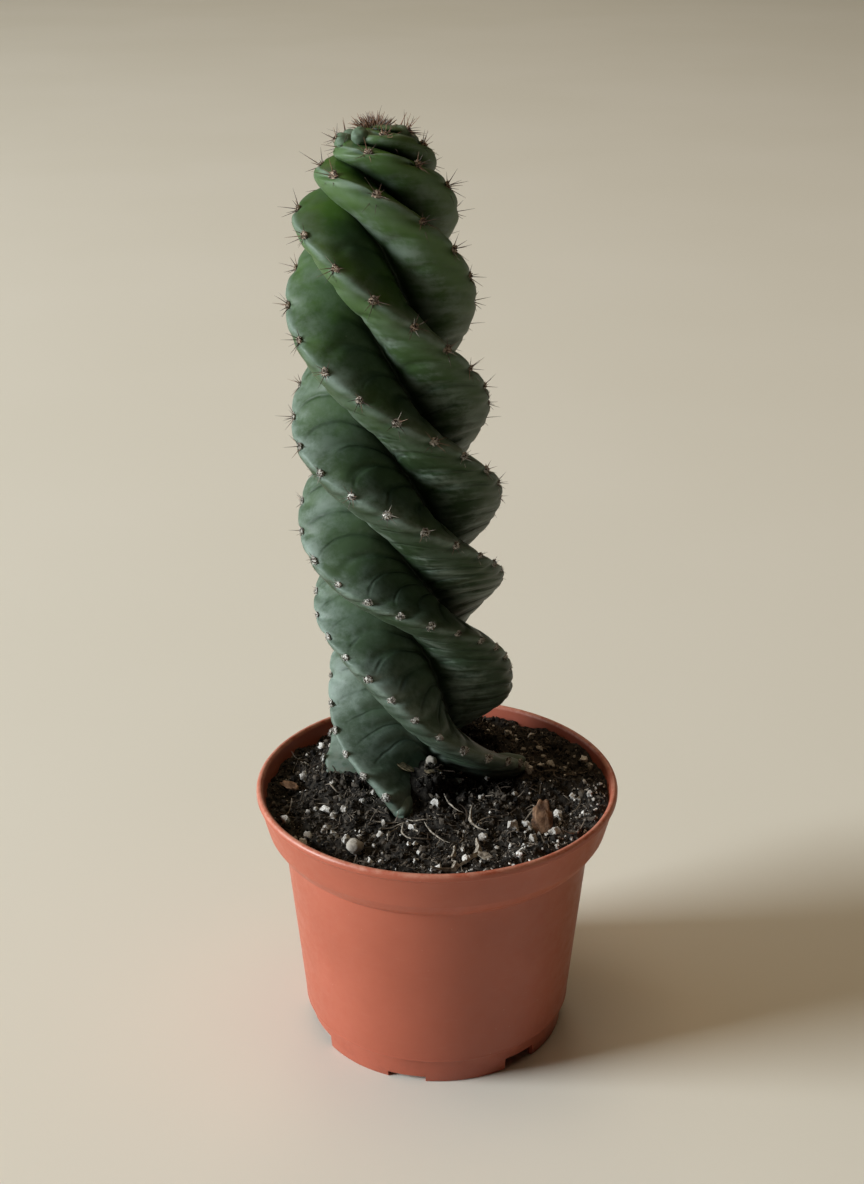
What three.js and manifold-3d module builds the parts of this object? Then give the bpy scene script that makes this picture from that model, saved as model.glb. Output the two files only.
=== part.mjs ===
// A spiral cactus in its nursery pot, in millimetres, +Z up, with the origin at the centre of the
// pot's foot and the front towards -Y. The stem is one grown piece: four ribs wind round it as a
// left-handed screw, and carry felted areoles with spines along their edges.
import * as THREE from "three";
import { mergeVertices } from "three/addons/utils/BufferGeometryUtils.js";
import Module from "manifold-3d";

const wasm = await Module();
wasm.setup();

const GAP = 0.3; // air between pieces that touch

// The pot: a moulded 12 cm nursery pot with a collar, and a foot that is cut away in places.
// Its outside and inside are drawn as [radius, height]: foot, body, collar and lip, and back down.
const RIM_RADIUS = 60;
const FOOT_RADIUS = 43.2;
const FOOT_RING = 1.6;
const FLOOR_UNDERSIDE = 3.8;
const FLOOR_TOP = 5.4;
const POT_OUTSIDE = [
  [FOOT_RADIUS, 0],
  [44.2, 9],
  [45.2, 9.6],
  [51.1, 70],
  [54.2, 72.6],
  [56.5, 76.3],
  [57.5, 80],
  [59.3, 87.2],
  [RIM_RADIUS, 88],
  [RIM_RADIUS, 89.4],
  [59.2, 90],
];
const POT_INSIDE = [
  [58.2, 90],
  [57.7, 89],
  [56.1, 80.3],
  [55, 76.9],
  [52.8, 73.7],
  [49.9, 70.6],
  [43.9, 10.5],
  [42.5, FLOOR_TOP],
];
const POT_SIDES = 48;
// Cuts in the foot: direction in degrees from the front, width in degrees and height.
const FOOT_NOTCHES = [
  [-72, 36, 4.6],
  [41, 16, 4.6],
  [165, 30, 4.6],
  [-12, 17, 2],
  [105, 17, 2],
  [-130, 17, 2],
];
const NOTCH_MARGIN = 2; // how far the cutters reach past the foot
const DRAIN_HOLES = 4;
const DRAIN_TURN = 45; // direction of the first one in degrees
const DRAIN_RADIUS = 3.5;
const DRAIN_CIRCLE = 31;

// The soil: a lumpy surface a little below the rim, a bit higher on the right.
const SOIL_HEIGHT = 85.4;
const SOIL_TILT = 0.9; // rise at the right edge and fall at the left one
const MOUND = 2.6; // the soil is heaped against the stem
const MOUND_RADIUS = 28;
const MOUND_SLOPE = 18;
const POCKET_AT = [-6, -3]; // more soil lies between the two front ribs
const POCKET_RISE = 8;
const POCKET_RADIUS = 6;
const POCKET_SLOPE = 8;
const SOIL_LUMP = 0.9;
const SOIL_CRUMB = 0.5;
const LUMP_SPACING = 9;
const SOIL_RINGS = 14;
const SOIL_EDGE_DROP = 3.3; // the surface meets the pot's wall this far below its mean height
const PERLITE_GRAINS = 44;
const PERLITE_SIZE = [0.9, 1.9];
const PERLITE_REACH = 54; // the outermost grains
const PERLITE_CLEAR = 6; // from the stem's sides
const PERLITE_CORE = 14; // and from the middle of its foot
const PERLITE_LITTER_CLEAR = 9;

// The stem. Each station is a height, the axis's place to the right and to the back, the reach of
// the ribs, the direction of the first rib in degrees from the front towards the right, and how
// far the cross-section rises to the right and to the back, per mm.
const STEM_STATIONS = [
  [60, -4.5, 13.5, 14, 600, 0, -0.06],
  [72, -4.5, 13.5, 25, 575, 0, -0.06],
  [84, -4.5, 13.5, 33.2, 548, 0, -0.06],
  [92, -4.5, 13, 32.8, 530, 0, -0.06],
  [110, -5, 12, 31, 473, 0.02, -0.06],
  [138, -7.5, 10.5, 30.5, 417, 0.07, -0.07],
  [166, -11, 8, 31.5, 323, 0.13, -0.09],
  [194, -12.5, 5.5, 32, 249, 0.15, -0.12],
  [222, -15, 3.5, 30, 172, 0.12, -0.15],
  [250, -17, 1.5, 28.5, 101, 0.07, -0.18],
  [272, -17.5, 0, 26, 42, 0.03, -0.21],
  [288, -18, -1, 23.5, -30, 0, -0.24],
  [298, -18, -2, 22.8, -130, 0, -0.23],
  [306, -18.5, -2.5, 21.5, -270, 0, -0.22],
];
const RIBS = 4;
// How far each rib strays from its even place, in degrees, at four heights of the stem.
const WANDER_HEIGHTS = [84, 157, 230, 303];
const RIB_WANDER = [
  [7, 2, -2, 6],
  [-1, -9, -1, -11],
  [-9, -5, 3, 1],
  [3, 11, 0, 3],
];
const CROWN_HEIGHT = 272; // where the stem starts to close
const STEM_TOP = 306;
const STEM_FOOT = STEM_STATIONS[0][0];
const [SOIL_LEVEL, FOOT_X, FOOT_Y] = STEM_STATIONS[2];
const ROOTED_HEIGHT = 78; // below this the ribs fade into a round foot
const ROOTED_VALLEY = 0.8;
const VALLEY_LOW = 0.28; // depth of the grooves between the ribs, as a share of their reach
const VALLEY_HIGH = 0.36;
const VALLEY_TIP = 0.66;
const RING_STEP = 3.9;
const CROWN_STEPS = 11;
const CROWN_END = 0.6; // the last ring stands this part of a step off the tip
// The flanks above and below a rib's edge: their part of the way to the next rib, and the
// exponents of their swell. The ribs hang: most of their bulk is below the edge.
const UPPER_FLANK = { part: 0.5, round: 1.2, slim: 1.5 };
const LOWER_FLANK = { part: 0.5, round: 2.0, slim: 1.15 };
// The ribs are thinner fins where they reach the soil, and fill out above it.
const FOOT_SLIMNESS = 2.8;
const FOOT_SLIM_HEIGHT = 90;
const FULL_SLIM_HEIGHT = 132;
// Places of a rib's columns, from its edge (0) to the groove (1).
const FLANK = [0, 0.14, 0.36, 0.66, 1];

// Areoles and spines. The areoles stand further apart where the stem grew faster.
const AREOLE_GAPS = [
  [84, 10],
  [150, 10.5],
  [172, 12.3],
  [216, 13],
  [262, 15],
  [285, 16],
  [298, 14],
  [306, 12],
];
const FIRST_AREOLE = [3, 6, 7.5, 6.5];
const AREOLE_SEARCH = 0.25; // step up the edge while measuring the gaps
const LAST_AREOLE = STEM_TOP - 1.2;
const CROWN_LIFT = 1.2; // how steeply the topmost areoles look up
const AREOLE_CLEAR = 4; // no spine nearer to the soil
const AREOLE_RADIUS = 0.8; // the spines' roots stand this far round its middle
const SPINES_OLD = 2; // left on an old areole, low on the stem
const SPINES_YOUNG = 3;
const YOUNG_HEIGHT = 150;
const SPINES_GROW = [130, 250]; // heights between which they get longer
const SPINE_LOW = 2.8;
const SPINE_HIGH = 6.6;
const SPINE_WIDTH = 0.42;
const SPINE_ROOT = 1.6;
const SPINE_SPREAD = 58; // degrees away from straight out
const TUFT_SPINES = 16;
const TUFT_RADIUS = 5;
const TUFT_TURN = 2.4; // radians from one tuft spine to the next
const TUFT_UPRIGHT = 1.15;
const TUFT_LENGTH = [4, 6.5];
const HOLE_CLEARANCE = 0.6; // air between the stem and its hole, measured level
const HOLE_RISE = 18; // the hole is cut up to this far above the soil's mean height
const SEAT_GAP = 0.4; // air round the loose things in the soil

// A random source that gives the same numbers every time.
function seeded(seed) {
  let state = seed;
  return () => {
    state = (state + 0x6d2b79f5) | 0;
    let t = Math.imul(state ^ (state >>> 15), 1 | state);
    t = (t + Math.imul(t ^ (t >>> 7), 61 | t)) ^ t;
    return ((t ^ (t >>> 14)) >>> 0) / 4294967296;
  };
}

// A smooth curve through rows of [place, value...], read at one place.
function along(rows, place, column = 1) {
  let i = 0;
  while (i < rows.length - 2 && place > rows[i + 1][0]) i += 1;
  const slope = (a) => {
    const before = rows[Math.max(a - 1, 0)];
    const after = rows[Math.min(a + 1, rows.length - 1)];
    return (after[column] - before[column]) / (after[0] - before[0]);
  };
  const width = rows[i + 1][0] - rows[i][0];
  const t = THREE.MathUtils.clamp((place - rows[i][0]) / width, 0, 1);
  const t2 = t * t;
  const t3 = t2 * t;
  return (
    (2 * t3 - 3 * t2 + 1) * rows[i][column] +
    (t3 - 2 * t2 + t) * width * slope(i) +
    (3 * t2 - 2 * t3) * rows[i + 1][column] +
    (t3 - t2) * width * slope(i + 1)
  );
}

// Smooth random height over the plane, between -1 and 1.
function makeLumps(seed, spacing) {
  const cells = 24;
  const random = seeded(seed);
  const grid = Array.from({ length: cells * cells }, () => 2 * random() - 1);
  const at = (i, j) => grid[(((j % cells) + cells) % cells) * cells + (((i % cells) + cells) % cells)];
  return (x, y) => {
    const u = x / spacing;
    const v = y / spacing;
    const i = Math.floor(u);
    const j = Math.floor(v);
    const s = THREE.MathUtils.smoothstep(u - i, 0, 1);
    const t = THREE.MathUtils.smoothstep(v - j, 0, 1);
    const near = THREE.MathUtils.lerp(at(i, j), at(i + 1, j), s);
    const far = THREE.MathUtils.lerp(at(i, j + 1), at(i + 1, j + 1), s);
    return THREE.MathUtils.lerp(near, far, t);
  };
}

// three.js geometry to a solid, and back.
function toSolid(geometry) {
  const bare = geometry.clone();
  bare.deleteAttribute("normal");
  bare.deleteAttribute("uv");
  const merged = mergeVertices(bare, 1e-4);
  return new wasm.Manifold(
    new wasm.Mesh({
      numProp: 3,
      vertProperties: new Float32Array(merged.attributes.position.array),
      triVerts: new Uint32Array(merged.index.array),
    }),
  );
}

function toGeometry(solid) {
  const mesh = solid.getMesh();
  const geometry = new THREE.BufferGeometry();
  geometry.setAttribute("position", new THREE.BufferAttribute(mesh.vertProperties, 3));
  geometry.setIndex(new THREE.BufferAttribute(mesh.triVerts, 1));
  const faceted = geometry.toNonIndexed();
  faceted.computeVertexNormals();
  return faceted;
}

// A closed body from rings of points, each ring as long as the others, lowest ring first.
function skin(rings) {
  const sides = rings[0].length;
  const points = rings.flat();
  const middleOf = (ring) => ring.reduce((sum, p) => sum.add(p), new THREE.Vector3()).divideScalar(sides);
  const foot = points.push(middleOf(rings[0])) - 1;
  const top = points.push(middleOf(rings[rings.length - 1])) - 1;
  const faces = [];
  const last = (rings.length - 1) * sides;
  for (let side = 0; side < sides; side += 1) {
    const next = (side + 1) % sides;
    for (let row = 0; row < last; row += sides) {
      const [a, b, c, d] = [row + side, row + next, row + sides + next, row + sides + side];
      const crossed = points[a].distanceTo(points[c]) < points[b].distanceTo(points[d]);
      faces.push(...(crossed ? [a, b, c, a, c, d] : [a, b, d, b, c, d]));
    }
    faces.push(foot, next, side, top, last + side, last + next);
  }
  const geometry = new THREE.BufferGeometry().setFromPoints(points);
  geometry.setIndex(faces);
  return geometry;
}

// Lathe profiles are drawn as [radius, height] and turned to stand along Z.
function turned(profile, sides) {
  const outline = profile.map(([radius, height]) => new THREE.Vector2(radius, height));
  return new THREE.LatheGeometry(outline, sides).rotateX(Math.PI / 2);
}

// Direction in degrees from the front (-Y) towards the right (+X).
function facing(degrees) {
  const angle = THREE.MathUtils.degToRad(degrees);
  return new THREE.Vector3(Math.sin(angle), -Math.cos(angle), 0);
}

// A piece of a ring, for cutting the foot away.
function ringPiece(direction, width, height) {
  const half = THREE.MathUtils.degToRad(width / 2);
  const shape = new THREE.Shape();
  shape.absarc(0, 0, FOOT_RADIUS + 2 * NOTCH_MARGIN, -half, half, false);
  shape.absarc(0, 0, FOOT_RADIUS - FOOT_RING - NOTCH_MARGIN / 4, half, -half, true);
  const depth = height + NOTCH_MARGIN;
  const piece = new THREE.ExtrudeGeometry(shape, { depth, bevelEnabled: false, curveSegments: 6 });
  return piece.rotateZ(THREE.MathUtils.degToRad(direction - 90)).translate(0, 0, -NOTCH_MARGIN);
}

function makePot() {
  const profile = [
    [0, FLOOR_UNDERSIDE],
    [FOOT_RADIUS - FOOT_RING, FLOOR_UNDERSIDE],
    [FOOT_RADIUS - FOOT_RING, 0],
    ...POT_OUTSIDE,
    ...POT_INSIDE,
    [0, FLOOR_TOP],
  ];
  let pot = toSolid(turned(profile, POT_SIDES));
  for (const [direction, width, height] of FOOT_NOTCHES) {
    pot = pot.subtract(toSolid(ringPiece(direction, width, height)));
  }
  for (let i = 0; i < DRAIN_HOLES; i += 1) {
    const place = facing((360 * i) / DRAIN_HOLES + DRAIN_TURN).multiplyScalar(DRAIN_CIRCLE);
    const drill = new THREE.CylinderGeometry(DRAIN_RADIUS, DRAIN_RADIUS, 2 * FLOOR_TOP, 12);
    drill.rotateX(Math.PI / 2).translate(place.x, place.y, FLOOR_TOP);
    pot = pot.subtract(toSolid(drill));
  }
  return pot;
}

// The stem's frame and size at a height.
function stemAt(height) {
  const rise = THREE.MathUtils.clamp((height - CROWN_HEIGHT) / (STEM_TOP - CROWN_HEIGHT), 0, 1);
  const dome = Math.sqrt(Math.max(1 - rise * rise, 0));
  const age = THREE.MathUtils.clamp((height - SOIL_LEVEL) / (CROWN_HEIGHT - SOIL_LEVEL), 0, 1);
  const valley = THREE.MathUtils.lerp(THREE.MathUtils.lerp(VALLEY_LOW, VALLEY_HIGH, age), VALLEY_TIP, rise ** 2);
  const full = THREE.MathUtils.smoothstep(height, FOOT_SLIM_HEIGHT, FULL_SLIM_HEIGHT);
  return {
    centre: new THREE.Vector3(along(STEM_STATIONS, height, 1), along(STEM_STATIONS, height, 2), height),
    reach: along(STEM_STATIONS, height, 3) * dome,
    valley,
    slimness: THREE.MathUtils.lerp(FOOT_SLIMNESS, 1, full),
    turn: along(STEM_STATIONS, height, 4),
    slant: new THREE.Vector3(along(STEM_STATIONS, height, 5), along(STEM_STATIONS, height, 6), 0),
    rooted: THREE.MathUtils.smoothstep(height, STEM_FOOT, ROOTED_HEIGHT),
  };
}

// Direction of a rib's edge at a height, in degrees.
function ribDirection(rib, height) {
  const rows = WANDER_HEIGHTS.map((place, i) => [place, RIB_WANDER[rib][i]]);
  return stemAt(height).turn - (360 / RIBS) * rib + along(rows, height);
}

// A point on the stem: share 0 is the rib's edge, 1 and -1 the grooves beside it.
function stemPoint(rib, share, height) {
  const { centre, reach, valley, slimness, slant, rooted } = stemAt(height);
  const other = (rib - Math.sign(share) + RIBS) % RIBS;
  const lap = 360 * Math.floor((rib - Math.sign(share)) / RIBS);
  const here = ribDirection(rib, height);
  const there = share === 0 ? here : ribDirection(other, height) - lap;
  const flank = share > 0 ? UPPER_FLANK : LOWER_FLANK;
  const direction = here + (there - here) * Math.abs(share) * flank.part;
  const swell = (1 - Math.abs(share) ** flank.round) ** (flank.slim * slimness);
  const low = THREE.MathUtils.lerp(ROOTED_VALLEY, valley, rooted);
  const arm = facing(direction).multiplyScalar(reach * (low + (1 - low) * swell));
  arm.z = arm.dot(slant);
  return arm.add(centre);
}

function stemRing(height) {
  const ring = [];
  for (let rib = RIBS - 1; rib >= 0; rib -= 1) {
    for (const share of FLANK.slice(1, -1).reverse()) ring.push(stemPoint(rib, -share, height));
    for (const share of FLANK) ring.push(stemPoint(rib, share, height));
  }
  return ring;
}

// Moves the sides of a ring outwards by the same level distance all round.
function widened(ring, distance) {
  const outward = (from, to) => new THREE.Vector3(to.y - from.y, from.x - to.x, 0).normalize();
  return ring.map((point, i) => {
    const before = outward(ring[(i + ring.length - 1) % ring.length], point);
    const after = outward(point, ring[(i + 1) % ring.length]);
    const reach = distance / Math.max(1 + before.dot(after), 0.4);
    return point.clone().addScaledVector(before.add(after), reach);
  });
}

function stemHeights(from, to) {
  const steps = Math.round((to - from) / RING_STEP);
  return Array.from({ length: steps + 1 }, (_, i) => from + ((to - from) * i) / steps);
}

function crownHeights() {
  return Array.from({ length: CROWN_STEPS }, (_, i) => {
    const climb = ((i + 1) / (CROWN_STEPS + CROWN_END)) * (Math.PI / 2);
    return CROWN_HEIGHT + (STEM_TOP - CROWN_HEIGHT) * Math.sin(climb);
  });
}

// A slim pointed spine with three sides, its root sunk into what it grows from.
function makeSpine(base, direction, length) {
  const spine = new THREE.ConeGeometry(SPINE_WIDTH, length + SPINE_ROOT, 3);
  spine.translate(0, (length + SPINE_ROOT) / 2 - SPINE_ROOT, 0);
  spine.applyQuaternion(new THREE.Quaternion().setFromUnitVectors(new THREE.Vector3(0, 1, 0), direction));
  return spine.translate(base.x, base.y, base.z);
}

// Where the areoles of one rib sit: points on its edge with the outward and the lengthwise way.
function areolesOf(rib) {
  const found = [];
  let wait = FIRST_AREOLE[rib];
  for (let height = SOIL_HEIGHT; height < LAST_AREOLE; height += AREOLE_SEARCH) {
    const here = stemPoint(rib, 0, height);
    const next = stemPoint(rib, 0, height + AREOLE_SEARCH);
    wait -= here.distanceTo(next);
    if (wait <= 0) {
      const out = here.clone().sub(stemAt(height).centre).normalize();
      const climb = THREE.MathUtils.clamp((height - CROWN_HEIGHT) / (STEM_TOP - CROWN_HEIGHT), 0, 1);
      out.z = climb * CROWN_LIFT;
      found.push({ point: here, out: out.normalize(), way: next.sub(here).normalize() });
      wait += along(AREOLE_GAPS, height);
    }
  }
  return found;
}

function makeStem() {
  const rings = [...stemHeights(STEM_FOOT, CROWN_HEIGHT), ...crownHeights()].map(stemRing);
  const random = seeded(11);
  const parts = [toSolid(skin(rings))];
  for (let rib = 0; rib < RIBS; rib += 1) {
    for (const { point, out, way } of areolesOf(rib)) {
      if (point.z < soilHeight(point.x, point.y) + AREOLE_CLEAR) continue;
      const youth = THREE.MathUtils.clamp(THREE.MathUtils.inverseLerp(...SPINES_GROW, point.z), 0, 1);
      const count = point.z < YOUNG_HEIGHT ? SPINES_OLD : SPINES_YOUNG;
      for (let i = 0; i < count; i += 1) {
        const roll = (2 * Math.PI * (i + random())) / count;
        const lean = THREE.MathUtils.degToRad(SPINE_SPREAD) * (0.45 + 0.55 * random());
        const side = way.clone().applyAxisAngle(out, roll);
        const aim = out.clone().multiplyScalar(Math.cos(lean)).addScaledVector(side, Math.sin(lean)).normalize();
        const length = THREE.MathUtils.lerp(SPINE_LOW, SPINE_HIGH, youth) * (0.7 + 0.45 * random());
        parts.push(toSolid(makeSpine(point.clone().addScaledVector(side, AREOLE_RADIUS), aim, length)));
      }
    }
  }
  const crown = stemAt(STEM_TOP - 1);
  for (let i = 0; i < TUFT_SPINES; i += 1) {
    const roll = i * TUFT_TURN;
    const spread = Math.sqrt((i + 0.5) / TUFT_SPINES);
    const aim = new THREE.Vector3(Math.cos(roll) * spread, Math.sin(roll) * spread, TUFT_UPRIGHT).normalize();
    const base = crown.centre.clone().add(new THREE.Vector3(aim.x, aim.y, 0).multiplyScalar(TUFT_RADIUS));
    parts.push(toSolid(makeSpine(base, aim, THREE.MathUtils.lerp(...TUFT_LENGTH, random()))));
  }
  return wasm.Manifold.union(parts);
}

const lumps = makeLumps(5, LUMP_SPACING);
const crumbs = makeLumps(9, LUMP_SPACING / 2);

function soilHeight(x, y) {
  const heap = (atX, atY, rise, radius, slope) => {
    const away = Math.hypot(x - atX, y - atY);
    return rise * (1 - THREE.MathUtils.smoothstep(away, radius, radius + slope));
  };
  const tilt = (SOIL_TILT * x) / RIM_RADIUS;
  const mound = heap(FOOT_X, FOOT_Y, MOUND, MOUND_RADIUS, MOUND_SLOPE);
  const pocket = heap(...POCKET_AT, POCKET_RISE, POCKET_RADIUS, POCKET_SLOPE);
  return SOIL_HEIGHT + tilt + mound + pocket + SOIL_LUMP * lumps(x, y) + SOIL_CRUMB * crumbs(x, y);
}

function makeSoilBody() {
  const side = POT_INSIDE.slice(2)
    .reverse()
    .map(([radius, height], i) => [radius - GAP, height + (i === 0 ? GAP : 0)]);
  const [, [rimRadius, rimHeight], [wallRadius, wallHeight]] = POT_INSIDE;
  const wallSlope = (rimRadius - wallRadius) / (rimHeight - wallHeight);
  const ringAt = (pick) => Array.from({ length: POT_SIDES }, (_, i) => pick(facing((360 * i) / POT_SIDES)));
  const rings = side.map(([radius, height]) => ringAt((out) => out.multiplyScalar(radius).setZ(height)));
  const edge = wallRadius - GAP + wallSlope * (SOIL_HEIGHT - SOIL_EDGE_DROP - wallHeight);
  for (let i = 0; i < SOIL_RINGS; i += 1) {
    const radius = edge * (1 - i / SOIL_RINGS);
    rings.push(ringAt((out) => {
      out.multiplyScalar(radius);
      return out.setZ(soilHeight(out.x, out.y));
    }));
  }
  return toSolid(skin(rings));
}

// White grains scattered over the soil, clear of the stem and of the pot.
function addPerlite(soil) {
  const random = seeded(23);
  const grains = [];
  const outline = stemRing(SOIL_HEIGHT);
  while (grains.length < PERLITE_GRAINS) {
    const size = THREE.MathUtils.lerp(PERLITE_SIZE[0], PERLITE_SIZE[1], random() ** 2);
    const place = facing(360 * random()).multiplyScalar(PERLITE_REACH * Math.sqrt(random()));
    const turn = new THREE.Euler(3 * random(), 3 * random(), 3 * random());
    const apart = (x, y) => Math.hypot(x - place.x, y - place.y);
    const near = outline.some(({ x, y }) => apart(x, y) < PERLITE_CLEAR);
    const taken = LITTER.some(({ at }) => apart(...at) < PERLITE_LITTER_CLEAR);
    if (near || taken || apart(FOOT_X, FOOT_Y) < PERLITE_CORE) continue;
    const grain = new THREE.OctahedronGeometry(size);
    grain.scale(1, 0.8, 0.9).applyQuaternion(new THREE.Quaternion().setFromEuler(turn));
    grain.translate(place.x, place.y, soilHeight(place.x, place.y) + 0.2 * size);
    grains.push(toSolid(grain));
  }
  return wasm.Manifold.union([soil, ...grains]);
}

// Loose things that lie on the soil, or stand in it: place, height of the middle above the soil,
// heading and tilt in degrees, and size.
const LITTER = [
  { name: "bark_chip", at: [34, -23], lift: 3, heading: 8, tilt: 66, size: [6.4, 12, 1.6], colour: 0x6e4a33 },
  { name: "bark_chip_small", at: [-50, 2], lift: 0.4, heading: 60, tilt: 8, size: [4, 7, 1.3], colour: 0x6b3a2c },
  { name: "pebble", at: [-25, -39], lift: 1.5, heading: 30, tilt: 0, size: [6, 5, 4.6], colour: 0xa8a294 },
  { name: "perlite_lump", at: [-2, -1], lift: 1.2, heading: 10, tilt: 0, size: [4, 3.6, 3.8], colour: 0xcfcabb },
  { name: "leaf_scrap", at: [-1, -6], lift: 0.5, heading: -60, tilt: -14, size: [3.6, 6.4, 1], colour: 0x7a6a48 },
  { name: "twig_left", at: [4, -44], lift: 0.4, heading: -21, tilt: 0, size: [1.2, 16, 1.2], colour: 0x7d6f5c },
  { name: "twig_right", at: [11.5, -40], lift: 0.4, heading: -21, tilt: 0, size: [1.2, 16, 1.2], colour: 0x75644f },
];
const LITTER_ROUGHNESS = 0.12;

// One loose thing as a rounded many-sided body, grown by a margin where its seat is cut.
function litterSolid({ at, lift, heading, tilt, size }, margin) {
  const body = new THREE.OctahedronGeometry(0.5, 1);
  const box = size.map((side) => side + 2 * margin);
  const position = body.getAttribute("position");
  for (let i = 0; i < position.count; i += 1) {
    const [x, y, z] = [position.getX(i), position.getY(i), position.getZ(i)];
    const rough = 1 + LITTER_ROUGHNESS * Math.sin(17 * x + 9 * y + 13 * z);
    position.setXYZ(i, x * rough * box[0], y * rough * box[1], z * box[2]);
  }
  const turn = new THREE.Euler(THREE.MathUtils.degToRad(tilt), 0, THREE.MathUtils.degToRad(heading), "ZYX");
  body.applyQuaternion(new THREE.Quaternion().setFromEuler(turn));
  return toSolid(body.translate(at[0], at[1], soilHeight(...at) + lift));
}

function makeSoil() {
  const heights = stemHeights(STEM_FOOT, CROWN_HEIGHT).filter((height) => height < SOIL_HEIGHT + HOLE_RISE);
  const rings = heights.map((height) => widened(stemRing(height), HOLE_CLEARANCE));
  rings.unshift(rings[0].map((point) => point.clone().setZ(point.z - GAP)));
  let soil = addPerlite(makeSoilBody()).subtract(toSolid(skin(rings)));
  for (const thing of LITTER) soil = soil.subtract(litterSolid(thing, SEAT_GAP));
  return soil;
}

function piece(name, solid, colour, roughness) {
  const material = new THREE.MeshStandardMaterial({ color: colour, roughness, metalness: 0 });
  const mesh = new THREE.Mesh(toGeometry(solid), material);
  mesh.name = name;
  return mesh;
}

const cactus = new THREE.Group();
cactus.name = "potted_spiral_cactus";
cactus.add(piece("pot", makePot(), 0xb5654a, 0.5));
cactus.add(piece("soil", makeSoil(), 0x2e2620, 0.95));
cactus.add(piece("stem", makeStem(), 0x3f5a45, 0.6));
for (const litter of LITTER) {
  cactus.add(piece(litter.name, litterSolid(litter, 0), litter.colour, 0.9));
}

export default cactus;
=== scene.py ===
# %% [markdown]
# # A potted spiral cactus
# The plant is a young column cactus whose four ribs wind round its core as a left-handed screw. It
# stands in dark potting mix in a plain terracotta-coloured nursery pot. The solid frame comes first:
# it says where every piece is and how big it is, and everything below only makes it look real.

# %% Load the frame
import math
import random
from contextlib import contextmanager

import bmesh
import bpy
import numpy as np
from mathutils import Euler, Matrix, Vector, noise


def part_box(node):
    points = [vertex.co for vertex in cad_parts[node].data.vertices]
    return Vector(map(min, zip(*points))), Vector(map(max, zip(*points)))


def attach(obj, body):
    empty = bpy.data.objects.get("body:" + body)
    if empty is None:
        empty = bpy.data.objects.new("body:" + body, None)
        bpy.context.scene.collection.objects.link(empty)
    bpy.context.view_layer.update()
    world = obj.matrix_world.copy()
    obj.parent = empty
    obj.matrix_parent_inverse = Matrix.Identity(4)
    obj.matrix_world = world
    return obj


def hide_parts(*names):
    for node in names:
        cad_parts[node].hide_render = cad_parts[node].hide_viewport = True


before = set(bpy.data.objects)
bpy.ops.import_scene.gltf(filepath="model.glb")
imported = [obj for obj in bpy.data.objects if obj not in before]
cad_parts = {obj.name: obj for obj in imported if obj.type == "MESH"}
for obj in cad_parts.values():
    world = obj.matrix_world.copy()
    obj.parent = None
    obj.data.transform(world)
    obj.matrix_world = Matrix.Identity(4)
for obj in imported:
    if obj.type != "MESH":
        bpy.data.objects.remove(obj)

MM = 0.001
scene = bpy.context.scene
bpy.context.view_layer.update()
print("nodes:", sorted(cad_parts))

# %% [markdown]
# ## The camera
# The picture was taken from a little above the plant's tip, looking down at it. A long lens on a tall
# frame keeps the pot's sides nearly straight. The view could be turned by eye, but these lengths and
# degrees come from fitting a camera to the pot's rim and foot, so that the rest can be compared.

# %% Camera
CAMERA_PLACE = (0.012, -0.526, 0.384)
CAMERA_DOWN = 23.27  # degrees below level
CAMERA_TURN = 1.49  # degrees towards the left
LENS = 54.73
SENSOR = 36.0

camera_data = bpy.data.cameras.new("camera")
camera_data.lens = LENS
camera_data.sensor_width = SENSOR
camera_data.clip_end = 20
camera = bpy.data.objects.new("camera", camera_data)
camera.location = CAMERA_PLACE
camera.rotation_euler = (math.radians(90 - CAMERA_DOWN), 0, math.radians(CAMERA_TURN))
scene.collection.objects.link(camera)
scene.camera = camera
print("camera at", CAMERA_PLACE)

# %% [markdown]
# ## Tools for modelling
# Blender's operators act on whatever is selected. So each piece starts alone from a plain form, and is
# shaped in edit mode or by moving its vertices, which these helpers read and write as an array.

# %% Helpers for modelling
def deselect():
    bpy.ops.object.select_all(action="DESELECT")


def focus(piece):
    """Selects one piece alone, and makes it the active one."""
    deselect()
    piece.select_set(True)
    bpy.context.view_layer.objects.active = piece


@contextmanager
def editing(piece):
    """Edit mode on one piece, with everything in it selected."""
    focus(piece)
    bpy.ops.object.mode_set(mode="EDIT")
    bpy.ops.mesh.select_all(action="SELECT")
    yield bmesh.from_edit_mesh(piece.data)
    bpy.ops.object.mode_set(mode="OBJECT")


def settle(piece, name):
    """Names a piece and puts its place, turn and size into its mesh."""
    focus(piece)
    bpy.ops.object.transform_apply(location=True, rotation=True, scale=True)
    piece.name = name
    piece.data.name = name
    return piece


def plain_form(operator, name, **options):
    """One of Blender's ready-made forms, with its place and turn in its mesh."""
    deselect()
    operator(**options)
    return settle(bpy.context.object, name)


def apply_modifier(piece, kind, **settings):
    focus(piece)
    modifier = piece.modifiers.new(kind.title(), kind)
    for key, value in settings.items():
        setattr(modifier, key, value)
    bpy.ops.object.modifier_apply(modifier=modifier.name)


def coordinates(mesh):
    """A mesh's vertices as an array with three columns."""
    flat = np.empty(len(mesh.vertices) * 3)
    mesh.vertices.foreach_get("co", flat)
    return flat.reshape(-1, 3)


def place_vertices(mesh, points):
    mesh.vertices.foreach_set("co", np.asarray(points).ravel())
    mesh.update()


def triangles(piece):
    piece.data.calc_loop_triangles()
    return len(piece.data.loop_triangles)


def finish(piece, material, replaces=()):
    """Gives a piece its finish and ties it to the frame."""
    piece.data.materials.clear()
    piece.data.materials.append(material)
    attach(piece, "root")
    if replaces:
        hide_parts(*replaces)
    print(piece.name, triangles(piece), "triangles")
    return piece


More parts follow.
